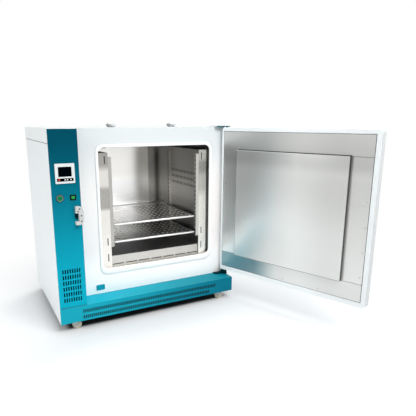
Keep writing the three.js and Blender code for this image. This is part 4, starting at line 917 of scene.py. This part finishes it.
class OVEN_OT_controls(PieceMaker, bpy.types.Operator):
    """Make the controller, push button, rocker and keeper on the column"""

    bl_idname = "oven.controls"
    bl_label = "Controls"

    def execute(self, context):
        sizes = context.scene.oven_sizes
        rounded_copy("controller_body", "white_plastic", sizes.casting_edge, segments=3)
        rounded_copy("display_insert", "glass_dark", FINE_EDGE)
        for key in ("key_set", "key_shift", "key_down", "key_up"):
            self.key(key)
        self.button(sizes)
        self.rocker(sizes)
        rounded_copy("latch_keeper", "keeper_steel", KEEPER_EDGE, segments=4)
        self.keeper_screws(sizes)
        return {"FINISHED"}

    def key(self, node):
        """A domed key."""
        low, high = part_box(node)
        radius = (high.x - low.x) / 2
        middle = (low + high) / 2
        profile = [(radius * 0.45, 0.0), (radius * 0.85, radius * 0.1), (radius, radius * 0.4),
                   (radius, high.y - low.y)]
        shape = bmesh.new()
        add_turned(shape, profile, into_panel(middle.x, low.y, middle.z), sides=24)
        piece = smooth(make_object(node + "_cap", shape))
        finish_name = "red_plastic" if SLOTS[node] == "red_plastic" else "white_key"
        dress(piece, finish_name, NODES[node]["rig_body"], (node,))

    def rocker(self, sizes):
        """A black frame and paddle, with a green lens in the paddle's front."""
        border = 2.6 * MM
        rounded_copy("rocker_frame", "black_gloss", MOULDED_EDGE, segments=3)
        paddle = rounded_copy("rocker_paddle", "black_gloss", sizes.edge, segments=3)
        paddle.data.materials.append(FINISHES["lens_green"])
        shape = bmesh.new()
        shape.from_mesh(paddle.data)
        front = [face for face in shape.faces if face.normal.y < -0.5]
        bmesh.ops.inset_region(shape, faces=front, thickness=border)
        for face in front:
            face.material_index = 1
        shape.to_mesh(paddle.data)
        shape.free()

    def button(self, sizes):
        """A metal ring with a dark border, round a green cap with a raised rim."""
        low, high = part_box("button_bezel")
        cap_low, cap_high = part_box("button_cap")
        middle = (low + high) / 2
        outer = (high.x - low.x) / 2
        cap = (cap_high.x - cap_low.x) / 2
        play, gap, thread = 0.4 * MM, 0.3 * MM, 20 * MM
        inner, under = cap + play, FACE - low.y - gap
        stem, tail = outer * 0.74, (PANEL - FACE) * 0.4
        ring = [(inner, thread), (inner, 1.2 * MM), (inner + 0.8 * MM, 0.0), (outer * 0.8, 0.1 * MM),
                (outer * 0.93, 1.0 * MM), (outer, 2.6 * MM), (outer, under), (stem, under),
                (stem, tail), (inner, tail)]
        shape = bmesh.new()
        add_turned(shape, ring, into_panel(middle.x, low.y, middle.z), sizes.round_sides, closed=True)
        piece = soften(make_object("button_ring", shape), FINE_EDGE)
        dress(piece, "ring_grey", "cabinet", ("button_bezel",))
        border = outer * 0.84
        second_finish(piece, "ring_dark", lambda face: border < math.hypot(
            face.center.x - middle.x, face.center.z - middle.z))
        dome = [(cap * 0.3, 1.4 * MM), (cap * 0.62, 1.1 * MM), (cap * 0.7, 0.5 * MM), (cap * 0.78, 0.0),
                (cap * 0.94, 0.4 * MM), (cap, 1.4 * MM), (cap, cap_high.y - cap_low.y)]
        shape = bmesh.new()
        add_turned(shape, dome, into_panel(middle.x, cap_low.y, middle.z), sizes.round_sides)
        piece = soften(make_object("button_face", shape), CAP_EDGE)
        dress(piece, "green_plastic", "button", ("button_cap",))

    def keeper_screws(self, sizes):
        """Four screws in the keeper, and painted shade for the slot beside them."""
        low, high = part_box("latch_keeper")
        wide, tall = high.x - low.x, high.z - low.z
        proud, gap = 0.3 * MM, 0.02 * MM
        # A flat dark teal strip on the column: painted shade for the recess of the latch's slot
        bar("keeper_slot", "slot_shade_teal", "cabinet",
            (low.x + proud, FACE - proud, low.z + tall * 0.3),
            (low.x + wide * 0.45, FACE - gap, low.z + tall * 0.68))
        places = ((0.3, 0.74), (0.48, 0.87), (0.66, 0.5), (0.66, 0.2))
        for number, (across, up) in enumerate(places, 1):
            start = (low.x + wide * across, low.y, low.z + tall * up)
            screws("keeper_screw_%d" % number, start, (0, 0, 0), 1, sizes.screw_radius * 0.85,
                   "cabinet", FORWARD, finish_name="frame_dark_and_shade")


class OVEN_OT_mouth(PieceMaker, bpy.types.Operator):
    """Make the moulded seal around the chamber's mouth"""

    bl_idname = "oven.mouth"
    bl_label = "Mouth seal"

    def execute(self, context):
        low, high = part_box("mouth_gasket")
        inner_corner, outer_corner, steps = 26 * MM, 36 * MM, 10
        inner = rounded_outline((LINER_LOW.x + THIN_SHEET, CHAMBER_FLOOR),
                                (LINER_HIGH.x - THIN_SHEET, LINER_HIGH.z - THIN_SHEET),
                                inner_corner, steps)
        outer = rounded_outline((low.x, low.z), (high.x, high.z), outer_corner, steps)
        profile = ((0.0, 1.0), (0.0, 0.45), (0.04, 0.15), (0.16, 0.0), (0.5, 0.0), (0.8, 0.14),
                   (0.95, 0.45), (1.0, 0.8), (1.0, 1.0))
        loops = []
        for across, share in profile:
            depth = low.y + (high.y - low.y) * share
            loops.append([Vector((a[0] + (b[0] - a[0]) * across, depth, a[1] + (b[1] - a[1]) * across))
                          for a, b in zip(inner, outer)])
        shape = bmesh.new()
        add_loops(shape, loops, True)
        piece = smooth(make_object("mouth_seal", shape), angle=50)
        dress(piece, "silicone", "cabinet", ("mouth_gasket",))
        return {"FINISHED"}


class OVEN_OT_chamber(PieceMaker, bpy.types.Operator):
    """Dress the chamber: liner, ducts, floor cover, rails and slotted uprights"""

    bl_idname = "oven.chamber"
    bl_label = "Chamber"

    def execute(self, context):
        sizes = context.scene.oven_sizes
        liner = rounded_copy("chamber_liner", "steel_wall", FINE_EDGE)
        second_finish(liner, "steel_shade", lambda face: abs(face.normal.y) < 0.5 and face.normal.z < 0.5)
        second_finish(liner, "steel_riser", looks_to(UP))
        for side in ("left", "right"):
            self.duct(side)
        self.riser()
        for level in ("upper", "lower"):
            for side in ("left", "right"):
                # The rails take the near-black steel: painted shade
                rounded_copy("shelf_rail_%s_%s" % (level, side), "steel_rail_shaded", FINE_EDGE)
        for end in ("front", "rear"):
            for side in ("left", "right"):
                self.upright("shelf_upright_%s_%s" % (end, side), side, sizes)
        return {"FINISHED"}

    def duct(self, side):
        """A wall with rows of small air slots, and a front flange with three long ones."""
        node = "duct_" + side
        low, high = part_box(node)
        inner, outer = (high.x, low.x) if side == "left" else (low.x, high.x)
        toward = math.copysign(1.0, inner - outer)
        sheet, gap, flange_middle = THIN_SHEET, 0.05 * MM, 15 * MM
        plan = [(outer, low.y), (inner, low.y), (inner, high.y), (inner - toward * sheet, high.y),
                (inner - toward * sheet, low.y + sheet), (outer, low.y + sheet)]
        shape = bmesh.new()
        add_loops(shape, [[Vector((x, y, z)) for x, y in plan] for z in (low.z, high.z)], False)
        add_box(shape, (outer, low.y + sheet + gap, high.z - sheet),
                (inner - toward * (sheet + gap), high.y, high.z))
        piece = make_object(node + "_sheet", shape)
        self.air_slots(piece, node, inner, toward, low.y)
        self.flange_slots(piece, node, inner - toward * flange_middle, low.y)
        dress(piece, "steel_duct", "cabinet", (node,))
        second_finish(piece, "steel_flange_" + side, looks_to(FORWARD))
        soften(piece, FINE_EDGE)
        front_gap, back_gap, end_gap, wall_gap = 3 * MM, 2 * MM, 4 * MM, 1.5 * MM
        bar(node + "_shade", "seam_and_shade_black", "cabinet",
            (outer + toward * front_gap, low.y + front_gap, low.z + end_gap),
            (inner - toward * (sheet + wall_gap), high.y - back_gap, high.z - end_gap))

    def air_slots(self, piece, node, wall, toward, front):
        """Punches rows of small slots into a duct's wall."""
        wide, high = 7 * MM, 14 * MM
        columns, pitch, rows, row = 17, 16 * MM, 3, 31 * MM
        margin, rise = 34 * MM, 322 * MM
        first_y, first_z = front + margin, CHAMBER_FLOOR + rise
        air = bmesh.new()
        add_box(air, (wall - toward * 2 * THIN_SHEET, first_y, first_z),
                (wall + toward * THIN_SHEET, first_y + wide, first_z + high))
        slots = make_object(node + "_air", air)
        repeated(slots, "steel_duct", columns, (0.0, pitch, 0.0), rows, (0.0, 0.0, row))
        punched(piece, slots)

    def flange_slots(self, piece, node, middle, front):
        """Punches three long slots into a duct's front flange."""
        half = 2.2 * MM
        stretches = ((463 * MM, 496 * MM), (101 * MM, 134 * MM), (27 * MM, 61 * MM))
        for start, end in stretches:
            long_slot = bmesh.new()
            add_box(long_slot, (middle - half, front - THIN_SHEET, CHAMBER_FLOOR + start),
                    (middle + half, front + 2 * THIN_SHEET, CHAMBER_FLOOR + end))
            punched(piece, make_object(node + "_slot", long_slot))

    def riser(self):
        """The floor cover, with long slots and screws along the foot of its riser."""
        low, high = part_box("floor_cover")
        sheet = THIN_SHEET
        side = [(low.y, low.z), (low.y + sheet, low.z), (low.y + sheet, high.z - sheet),
                (high.y, high.z - sheet), (high.y, high.z), (low.y, high.z)]
        shape = bmesh.new()
        add_loops(shape, [[Vector((x, y, z)) for y, z in side] for x in (low.x, high.x)], False)
        piece = make_object("floor_cover_sheet", shape)
        count, width, rise, tall = 7, 56 * MM, 5 * MM, 4.5 * MM
        step = (high.x - low.x) / count
        start = low.x + (step - width) / 2
        foot = bmesh.new()
        add_box(foot, (start, low.y - sheet, low.z + rise),
                (start + width, low.y + 2 * sheet, low.z + rise + tall))
        slots = make_object("floor_cover_slots", foot)
        repeated(slots, "steel_riser", count, (step, 0.0, 0.0))
        punched(piece, slots)
        dress(piece, "steel_riser", "cabinet", ("floor_cover",))
        # The floor cover's top takes the dark grey copy: painted shade
        second_finish(piece, "steel_floor_shaded", looks_to(UP))
        soften(piece, FINE_EDGE)
        inset, deep, gap, top = 3 * MM, 9 * MM, 0.5 * MM, 12 * MM
        bar("floor_cover_shade", "seam_and_shade_black", "cabinet",
            (low.x + inset, low.y + 2 * sheet, low.z + gap), (high.x - inset, low.y + deep, low.z + top))
        screw_height, screw_radius = 16 * MM, 2.6 * MM
        screws("floor_cover_screws", (low.x + step, low.y, low.z + screw_height), (step, 0.0, 0.0),
               count - 1, screw_radius, "cabinet", FORWARD, finish_name="chrome")

    def upright(self, node, side, sizes):
        """A channel of slotted cells, open towards the wall."""
        low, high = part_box(node)
        width, deep = high.x - low.x, high.y - low.y
        count = int((high.z - low.z) / sizes.upright_pitch)
        pitch = (high.z - low.z) / count
        slot_high, slot_wide = 11 * MM, 11 * MM
        near, far = (deep - slot_wide) / 2, (deep + slot_wide) / 2
        bottom, top = (pitch - slot_high) / 2, (pitch + slot_high) / 2
        thick = THIN_SHEET
        corners = [(0, 0), (width, 0), (width, deep), (0, deep), (0, deep - thick),
                   (width - thick, deep - thick), (width - thick, thick), (0, thick)]
        outside, inside = 1, 5
        shape = bmesh.new()
        foot, head = [[shape.verts.new((x, y, z)) for x, y in corners] for z in (0.0, pitch)]
        join(shape, foot, head, (outside, inside))
        holes = []
        for start, (first, second) in ((outside, (near, far)), (inside, (far, near))):
            x = corners[start][0]
            hole = [shape.verts.new((x, y, z)) for y, z in (
                (first, bottom), (second, bottom), (second, top), (first, top))]
            join(shape, [foot[start], foot[start + 1], head[start + 1], head[start]], hole)
            holes.append(hole)
        outer, inner = holes
        join(shape, outer, [inner[1], inner[0], inner[3], inner[2]])
        if side == "left":
            place = Matrix.Translation(low)
        else:
            place = Matrix.Translation((high.x, low.y, low.z)) @ Matrix.Scale(-1, 4, RIGHTWARD)
        piece = make_object(node + "_slotted", shape, place)
        repeated(piece, "steel_upright", count, (0.0, 0.0, pitch))
        close_border(piece, bmesh.ops.holes_fill)
        # Fronts and slotted sides take separate lit and shaded copies of the steel: painted light and shade
        front, sides = "steel_upright", "steel_slotted_lit"
        if "rear" in node:
            front, sides = "steel_upright_rear", "steel_duct"
        dress(piece, front, "cabinet", (node,))
        second_finish(piece, sides, lambda face: abs(face.normal.x) > 0.5)
        # A black core inside the channel: painted shade seen through the slots
        inset, gap = 1.6 * thick, 0.2 * MM
        gaps = (gap, inset) if side == "left" else (inset, gap)
        bar(node + "_shade_core", "seam_and_shade_black", "cabinet",
            (low.x + gaps[0], low.y + inset, low.z + inset),
            (high.x - gaps[1], high.y - inset, high.z - inset))


class OVEN_OT_shelves(PieceMaker, bpy.types.Operator):
    """Make the two perforated shelves"""

    bl_idname = "oven.shelves"
    bl_label = "Shelves"

    def execute(self, context):
        sizes = context.scene.oven_sizes
        for node in ("shelf_upper", "shelf_lower"):
            deck = self.deck(node, sizes)
            rim = self.rim(node, sizes)
            dress(deck, "steel_deck", node, (node,))
            # Hole walls that face left take a lit copy of the steel, those that face right a dark one:
            # painted light and shade
            second_finish(deck, "steel_flare", lambda face: self.is_wall(face) and face.normal.x < 0.2)
            second_finish(deck, "steel_side_shaded", lambda face: self.is_wall(face) and face.normal.x > 0.2)
            dress(rim, "steel_rim", node)
        return {"FINISHED"}

    def is_wall(self, face):
        """Whether a face is a hole's flare or throat, or the sheet's cut edge."""
        return abs(face.normal.z) < 0.95

    def counts(self, low, high, sizes):
        """How many columns and rows of punched cells fit a shelf."""
        margin = 12 * MM
        columns = int((high.x - low.x - 2 * margin) / sizes.shelf_pitch)
        rows = int((high.y - low.y - 2 * margin) / sizes.shelf_row)
        return columns, rows

    def deck(self, node, sizes):
        """A sheet of punched cells, welded and closed round its border."""
        low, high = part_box(node)
        columns, rows = self.counts(low, high, sizes)
        pitch, row = sizes.shelf_pitch, sizes.shelf_row
        start_x = (low.x + high.x - columns * pitch) / 2
        start_y = (low.y + high.y - rows * row) / 2
        square = [(0.5, 0), (1, 0), (1, 0.5), (1, 1), (0.5, 1), (0, 1), (0, 0.5), (0, 0)]
        turns = [math.radians(45 * step - 90) for step in range(len(square))]
        flare = ((sizes.shelf_hole, 0.0), (sizes.shelf_hole * 0.6, THIN_SHEET * 0.7))
        shape = bmesh.new()
        rings = []
        for z in (high.z, high.z - THIN_SHEET):
            edge = [shape.verts.new((start_x + x * pitch, start_y + y * row, z)) for x, y in square]
            holes = []
            for radius, drop in flare:
                middle = Vector((start_x + pitch / 2, start_y + row / 2, z - drop))
                holes.append([shape.verts.new(middle + Vector((math.cos(turn), math.sin(turn), 0.0)) * radius)
                              for turn in turns])
            rings.append((edge, *holes))
        upper, lower = rings
        for near, far in ((0, 1), (1, 2)):
            join(shape, upper[near], upper[far])
            join(shape, lower[near], lower[far])
        join(shape, upper[2], lower[2])
        piece = make_object(node + "_deck", shape)
        repeated(piece, "steel_deck", columns, (pitch, 0, 0), rows, (0, row, 0))
        close_border(piece, bmesh.ops.bridge_loops)
        return piece

    def rim(self, node, sizes):
        """The plain border and the lip folded down all round."""
        low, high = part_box(node)
        columns, rows = self.counts(low, high, sizes)
        gap, fold = 0.02 * MM, 1.6 * MM
        reach_x = (high.x - low.x - columns * sizes.shelf_pitch) / 2 - gap
        reach_y = (high.y - low.y - rows * sizes.shelf_row) / 2 - gap
        lip = high.z - low.z
        profile = [(1.0, 0.0, 0.0), (0.0, fold, 0.0), (0.0, fold * 0.3, -fold * 0.3), (0.0, 0.0, -fold),
                   (0.0, 0.0, -lip), (0.0, THIN_SHEET, -lip), (0.0, THIN_SHEET, -fold),
                   (1.0, 0.0, -THIN_SHEET)]
        loops = []
        for share, inset, drop in profile:
            left, right = low.x + inset + share * reach_x, high.x - inset - share * reach_x
            front, rear = low.y + inset + share * reach_y, high.y - inset - share * reach_y
            loops.append([Vector((x, y, high.z + drop))
                          for x, y in ((left, front), (right, front), (right, rear), (left, rear))])
        shape = bmesh.new()
        add_loops(shape, loops, True)
        return smooth(make_object(node + "_rim", shape), angle=60)


class OVEN_OT_door(PieceMaker, bpy.types.Operator):
    """Dress the door: shell, liner strips, raised plug, screws and handle"""

    bl_idname = "oven.door"
    bl_label = "Door"

    def execute(self, context):
        sizes = context.scene.oven_sizes
        turned = TO_OPEN.to_3x3()
        shell = rounded_copy("door_shell", "door_enamel", sizes.casting_edge, segments=3)
        # The outer face and the free edge take darker copies of the white: painted shade
        second_finish(shell, "door_outside_shaded", looks_to(turned @ Vector(FORWARD), 0.9))
        second_finish(shell, "door_edge_shaded", looks_to(turned @ Vector(LEFTWARD), 0.9))
        self.strips()
        self.plug(turned @ Vector(BACKWARD))
        self.outline()
        self.liner_screws(sizes)
        rounded_copy("handle_base", "chrome", HANDLE_EDGE, segments=3)
        rounded_copy("handle_lever", "black_gloss", HANDLE_EDGE, segments=3)
        return {"FINISHED"}

    def plug(self, inward):
        """The raised panel, whose folded sides carry painted shade, a darker copy of the steel than its face.
        """
        low, high = closed_box("door_plug")
        foot = closed_box("door_liner_frame")[1].y
        edge, corner = 1.2 * MM, 2.5 * MM
        loops = []
        for depth, inset in ((foot, 0.0), (high.y - edge, 0.0), (high.y - 0.3 * edge, 0.3 * edge),
                             (high.y, edge)):
            outline = rounded_outline((low.x + inset, low.z + inset), (high.x - inset, high.z - inset),
                                      corner - inset, 4)
            loops.append([Vector((x, depth, z)) for x, z in outline])
        shape = bmesh.new()
        add_loops(shape, loops, False)
        piece = smooth(make_object("door_plug_pan", shape, TO_OPEN), angle=30)
        dress(piece, "steel_door", "door", ("door_plug",))
        second_finish(piece, "steel_side_shaded", lambda side: abs(side.normal.dot(inward)) < 0.3)
        # Dark strips on the plug's face along its side and foot are painted shade lines; those on the liner
        # above and below it are dark joints deepened with painted shade
        line, thin = 1.3 * MM, 0.05 * MM
        gap, proud, top_joint, foot_joint = 0.2 * MM, 0.2 * MM, 2.6 * MM, 1.6 * MM
        for name, corner, opposite in (
                ("shade_line_side", (high.x - edge - line, high.y, low.z + line),
                 (high.x - edge, high.y + thin, high.z - line)),
                ("shade_line_foot", (low.x + line, high.y, low.z + edge),
                 (high.x - line, high.y + thin, low.z + edge + line)),
                ("joint_shade_top", (low.x, foot, high.z + gap), (high.x, foot + proud, high.z + top_joint)),
                ("joint_shade_foot", (low.x, foot, low.z - foot_joint), (high.x, foot + proud, low.z - gap))):
            bar("plug_" + name, "seam_and_shade_black", "door", corner, opposite, TO_OPEN)

    def outline(self):
        """The dark joint that runs round the liner."""
        low, high = closed_box("door_liner_frame")
        reach, under, thick = 1.8 * MM, -5.4 * MM, 0.25 * MM
        loops = []
        for grown, depth in ((reach, low.y), (reach, low.y + thick), (under, low.y + thick),
                             (under, low.y)):
            loops.append([Vector((x, depth, z)) for x, z in (
                (low.x - grown, low.z - grown), (high.x + grown, low.z - grown),
                (high.x + grown, high.z + grown), (low.x - grown, high.z + grown))])
        shape = bmesh.new()
        add_loops(shape, loops, True)
        dress(make_object("liner_joint", shape, TO_OPEN), "seam_and_shade_black", "door")

    def strips(self):
        """Four liner strips with open seams between them."""
        low, high = closed_box("door_liner_frame")
        plug_low, plug_high = closed_box("door_plug")
        seam, tuck, lap = 1.5 * MM, 5 * MM, 1 * MM
        top_seam, low_seam = plug_high.z - lap, plug_low.z + lap
        strips = {
            "top": ((low.x, top_seam), (high.x, high.z)),
            "bottom": ((low.x, low.z), (high.x, low_seam)),
            "free": ((low.x, low_seam + seam), (plug_low.x + tuck, top_seam - seam)),
            "hinge": ((plug_high.x - tuck, low_seam + seam), (high.x, top_seam - seam)),
        }
        for side, ((x0, z0), (x1, z1)) in strips.items():
            shape = bmesh.new()
            add_box(shape, (x0, low.y, z0), (x1, high.y, z1))
            piece = soften(make_object("liner_strip_" + side, shape, TO_OPEN), FINE_EDGE)
            finish_name = "steel_strip_low" if side == "bottom" else "steel_strip"
            dress(piece, finish_name, "door", ("door_liner_frame",))

    def liner_screws(self, sizes):
        """The screws that show on the strips."""
        low, high = closed_box("door_liner_frame")
        rows = (
            ("free", (low.x + 9 * MM, low.z + 103 * MM), (0.0, 100 * MM), 4),
            ("bottom", (low.x + 179 * MM, low.z + 12 * MM), (171 * MM, 0.0), 2),
            ("hinge", (high.x - 13 * MM, low.z + 413 * MM), (0.0, 115 * MM), 2),
        )
        for side, (x, z), (step_x, step_z), count in rows:
            screws("liner_screws_" + side, (x, high.y, z), (step_x, 0.0, step_z), count,
                   sizes.screw_radius * 0.75, "door", BACKWARD, TO_OPEN)


class OVEN_OT_fittings(PieceMaker, bpy.types.Operator):
    """Make the hinges, roof vents, inlet and casters"""

    bl_idname = "oven.fittings"
    bl_label = "Fittings"

    def execute(self, context):
        sizes = context.scene.oven_sizes
        teal_reach = 42 * MM
        bracket = rounded_copy("hinge_bracket_top", "hinge_teal", MOULDED_EDGE, segments=3)
        second_finish(bracket, "white_enamel", lambda face: face.center.x < RIGHT - teal_reach)
        foot = rounded_copy("hinge_bracket_bottom", "hinge_dark", MOULDED_EDGE, segments=3)
        self.slim_pin(bracket)
        self.slim_pin(foot)
        rounded_copy("mains_inlet", "black_gloss", MOULDED_EDGE, segments=3)
        for side in ("left", "right"):
            cap = rounded_copy("vent_cap_" + side, "white_plastic", MOULDED_EDGE, segments=3)
            second_finish(cap, "grey_plastic", looks_to(LEFTWARD))
        for corner in ("front_left", "front_right", "rear_left", "rear_right"):
            rounded_copy("caster_fork_" + corner, "zinc", sizes.edge)
            self.wheel(corner)
        return {"FINISHED"}

    def slim_pin(self, bracket):
        """Frees the hinge pin in its bore, whose flat sides stand a little inside its circle."""
        reach, slimmer = 6.2 * MM, 0.97
        for vert in bracket.data.vertices:
            away = Vector((vert.co.x - DOOR_HINGE.x, vert.co.y - DOOR_HINGE.y))
            if away.length < reach:
                vert.co.x = DOOR_HINGE.x + away.x * slimmer
                vert.co.y = DOOR_HINGE.y + away.y * slimmer

    def wheel(self, corner):
        """A wheel with a crowned tread, a recessed web and a hub on each side."""
        node = "caster_wheel_" + corner
        joint = JOINTS["caster_%s_roll" % corner]
        axle = Vector(joint["axis"]).normalized()
        low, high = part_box(node)
        radius = (high.z - low.z) / 2
        half = max((vert.co - Vector(joint["pos_m"])).dot(axle) for vert in NODES[node].data.vertices)
        bore = 3.3 * MM
        profile = [(0.3, 0.95), (0.34, 0.6), (0.4, 0.5), (0.72, 0.5), (0.78, 0.62), (0.86, 0.95),
                   (0.93, 0.88), (0.98, 0.6), (1.0, 0.25)]
        outline = [(bore, 0.95 * half)] + [(r * radius, h * half) for r, h in profile]
        outline += [(r, -h) for r, h in reversed(outline)]
        shape = bmesh.new()
        add_turned(shape, outline, looking(joint["pos_m"], axle), sides=48, closed=True)
        piece = smooth(make_object(node + "_turned", shape), angle=40)
        dress(piece, "caster_cream", NODES[node]["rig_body"], (node,))


class OVEN_OT_stage(PieceMaker, bpy.types.Operator):
    """Make the floor, the lights and the photograph's camera"""

    bl_idname = "oven.stage"
    bl_label = "Stage"

    def execute(self, context):
        scene = context.scene
        scene.view_settings.view_transform = "Standard"
        self.camera(scene)
        self.floor(scene)
        self.world(scene)
        self.lamp("overhead", place=(0.3, 1.2, 3.2), aim=(0.0, 0.0, 0.0), size=(1.0, 1.0), power=32.0)
        self.lamp("front_key", place=(0.2, -2.2, 2.7), aim=(0.0, 0.0, 0.3), size=(2.0, 1.2), power=78.0)
        self.lamp("side_fill", place=(-3.2, -0.5, 1.6), aim=(-0.5, 0.2, 0.4), size=(1.5, 1.5), power=13.0)
        return {"FINISHED"}

    def camera(self, scene):
        """The photograph's camera."""
        lens = bpy.data.cameras.new("camera")
        lens.lens = EYE_LENS
        lens.shift_x, lens.shift_y = EYE_SHIFT
        eye = bpy.data.objects.new("camera", lens)
        eye.location = Vector((LEFT, FACE, SKIRT)) + EYE_OFFSET
        eye.rotation_euler = (math.radians(EYE_PITCH), 0.0, math.radians(EYE_YAW))
        scene.collection.objects.link(eye)
        scene.camera = eye

    def worked_out(self, tree, operation, first, second):
        """The result of a maths node on two values of a tree."""
        step = tree.nodes.new("ShaderNodeMath")
        step.operation = operation
        tree.links.new(first, step.inputs[0])
        tree.links.new(second, step.inputs[1])
        return step.outputs["Value"]

    def in_view(self, tree):
        """1 for what the camera sees straight or in a mirror, and else 0."""
        path = tree.nodes.new("ShaderNodeLightPath")
        return self.worked_out(tree, "MAXIMUM", path.outputs["Is Camera Ray"],
                               path.outputs["Is Glossy Ray"])

    def mixed(self, tree, share, usual, other, outlet):
        """Puts out one shader where a share is 0 and another where it is 1."""
        mix = tree.nodes.new("ShaderNodeMixShader")
        tree.links.new(share, mix.inputs["Fac"])
        tree.links.new(usual, mix.inputs[1])
        tree.links.new(other, mix.inputs[2])
        tree.links.new(mix.outputs["Shader"], tree.nodes[outlet].inputs["Surface"])

    def floor(self, scene):
        """A wide floor that takes shadows near the oven and is plain white farther off."""
        half, shadow_reach, white_from = 14.0, 0.65, 1.5
        shape = bmesh.new()
        corners = ((-half, -half), (half, -half), (half, half), (-half, half))
        shape.faces.new([shape.verts.new((x, y, 0.0)) for x, y in corners])
        mesh = bpy.data.meshes.new("studio_floor")
        shape.to_mesh(mesh)
        shape.free()
        floor = bpy.data.objects.new("studio_floor", mesh)
        scene.collection.objects.link(floor)
        material = bpy.data.materials.new("studio_floor")
        material.use_nodes = True
        tree = material.node_tree
        shader = tree.nodes["Principled BSDF"]
        set_inputs(shader, {"Roughness": 0.9, "Specular IOR Level": 0.1})
        self.footprint(tree, shader, colour(scene.oven_colours.floor))
        place = tree.nodes.new("ShaderNodeTexCoord")
        reach = tree.nodes.new("ShaderNodeVectorMath")
        reach.operation = "LENGTH"
        far = tree.nodes.new("ShaderNodeMapRange")
        far.interpolation_type = "SMOOTHSTEP"
        set_inputs(far, {"From Min": shadow_reach, "From Max": white_from})
        white = tree.nodes.new("ShaderNodeEmission")
        set_inputs(white, {"Color": (1.0, 1.0, 1.0, 1.0), "Strength": 1.0})
        tree.links.new(place.outputs["Object"], reach.inputs[0])
        tree.links.new(reach.outputs["Value"], far.inputs["Value"])
        share = self.worked_out(tree, "MULTIPLY", far.outputs["Result"], self.in_view(tree))
        self.mixed(tree, share, shader.outputs["BSDF"], white.outputs["Emission"], "Material Output")
        mesh.materials.append(material)

    def footprint(self, tree, shader, open_floor):
        """Deepens the shade on the floor under the base."""
        soft, front_inset, deepest = 25 * MM, 30 * MM, (0.06, 0.065, 0.07)
        under = None
        for axis, start in ((BACKWARD, FACE + front_inset), (FORWARD, -BACK + soft),
                            (RIGHTWARD, LEFT + soft), (LEFTWARD, -RIGHT + soft)):
            share = fade_share(tree.nodes, axis, start, start + soft)
            under = share if under is None else self.worked_out(tree, "MULTIPLY", under, share)
        tint = tree.nodes.new("ShaderNodeMix")
        tint.data_type = "RGBA"
        set_inputs(tint, {"A": open_floor, "B": colour(deepest)})
        tree.links.new(under, tint.inputs["Factor"])
        tree.links.new(tint.outputs["Result"], shader.inputs["Base Color"])

    def world(self, scene):
        """A dome that lights more from above, and is plain white where it is seen."""
        horizon, top, top_from = 0.16, 0.76, 0.6
        world = bpy.data.worlds.new("studio")
        world.use_nodes = True
        scene.world = world
        tree = world.node_tree
        light = tree.nodes["Background"]
        light.inputs["Color"].default_value = (0.97, 0.985, 1.0, 1.0)
        toward = tree.nodes.new("ShaderNodeTexCoord")
        height = tree.nodes.new("ShaderNodeSeparateXYZ")
        dome = tree.nodes.new("ShaderNodeMapRange")
        set_inputs(dome, {"From Max": top_from, "To Min": horizon, "To Max": top})
        tree.links.new(toward.outputs["Generated"], height.inputs["Vector"])
        tree.links.new(height.outputs["Z"], dome.inputs["Value"])
        tree.links.new(dome.outputs["Result"], light.inputs["Strength"])
        seen = tree.nodes.new("ShaderNodeBackground")
        set_inputs(seen, {"Color": (1.0, 1.0, 1.0, 1.0), "Strength": 1.0})
        self.mixed(tree, self.in_view(tree), light.outputs["Background"], seen.outputs["Background"],
                   "World Output")

    def lamp(self, name, place, aim, size, power):
        """An oblong lamp, with its place, what it shines at, its sides and its power in watts."""
        light = bpy.data.lights.new(name, "AREA")
        light.shape = "RECTANGLE"
        light.size, light.size_y = size
        light.energy = power
        lamp = bpy.data.objects.new(name, light)
        lamp.location = place
        lamp.rotation_euler = (Vector(aim) - Vector(place)).to_track_quat("-Z", "Y").to_euler()
        bpy.context.scene.collection.objects.link(lamp)


class OVEN_PT_panel(bpy.types.Panel):
    """The oven's operators and settings"""

    bl_label = "Drying Oven"
    bl_idname = "OVEN_PT_panel"
    bl_space_type = "VIEW_3D"
    bl_region_type = "UI"
    bl_category = "Oven"

    def draw(self, context):
        layout = self.layout
        for step in STEPS:
            layout.operator(step.bl_idname)
        for group in (context.scene.oven_sizes, context.scene.oven_colours):
            box = layout.box()
            for setting in group.__annotations__:
                box.prop(group, setting)


STEPS = (OVEN_OT_finishes, OVEN_OT_stage, OVEN_OT_case, OVEN_OT_controls, OVEN_OT_mouth, OVEN_OT_chamber,
         OVEN_OT_shelves, OVEN_OT_door, OVEN_OT_fittings)
CLASSES = (OvenSizes, OvenColours, *STEPS, OVEN_PT_panel)


def register():
    """Registers the classes and gives the scene its settings."""
    for item in CLASSES:
        bpy.utils.register_class(item)
    bpy.types.Scene.oven_sizes = PointerProperty(type=OvenSizes)
    bpy.types.Scene.oven_colours = PointerProperty(type=OvenColours)


def unregister():
    """Takes the settings and the classes away again."""
    del bpy.types.Scene.oven_colours
    del bpy.types.Scene.oven_sizes
    for item in reversed(CLASSES):
        bpy.utils.unregister_class(item)


def main():
    """Registers the classes and runs every step."""
    register()
    for step in STEPS:
        family, name = step.bl_idname.split(".")
        getattr(getattr(bpy.ops, family), name)()


if __name__ == "__main__":
    main()
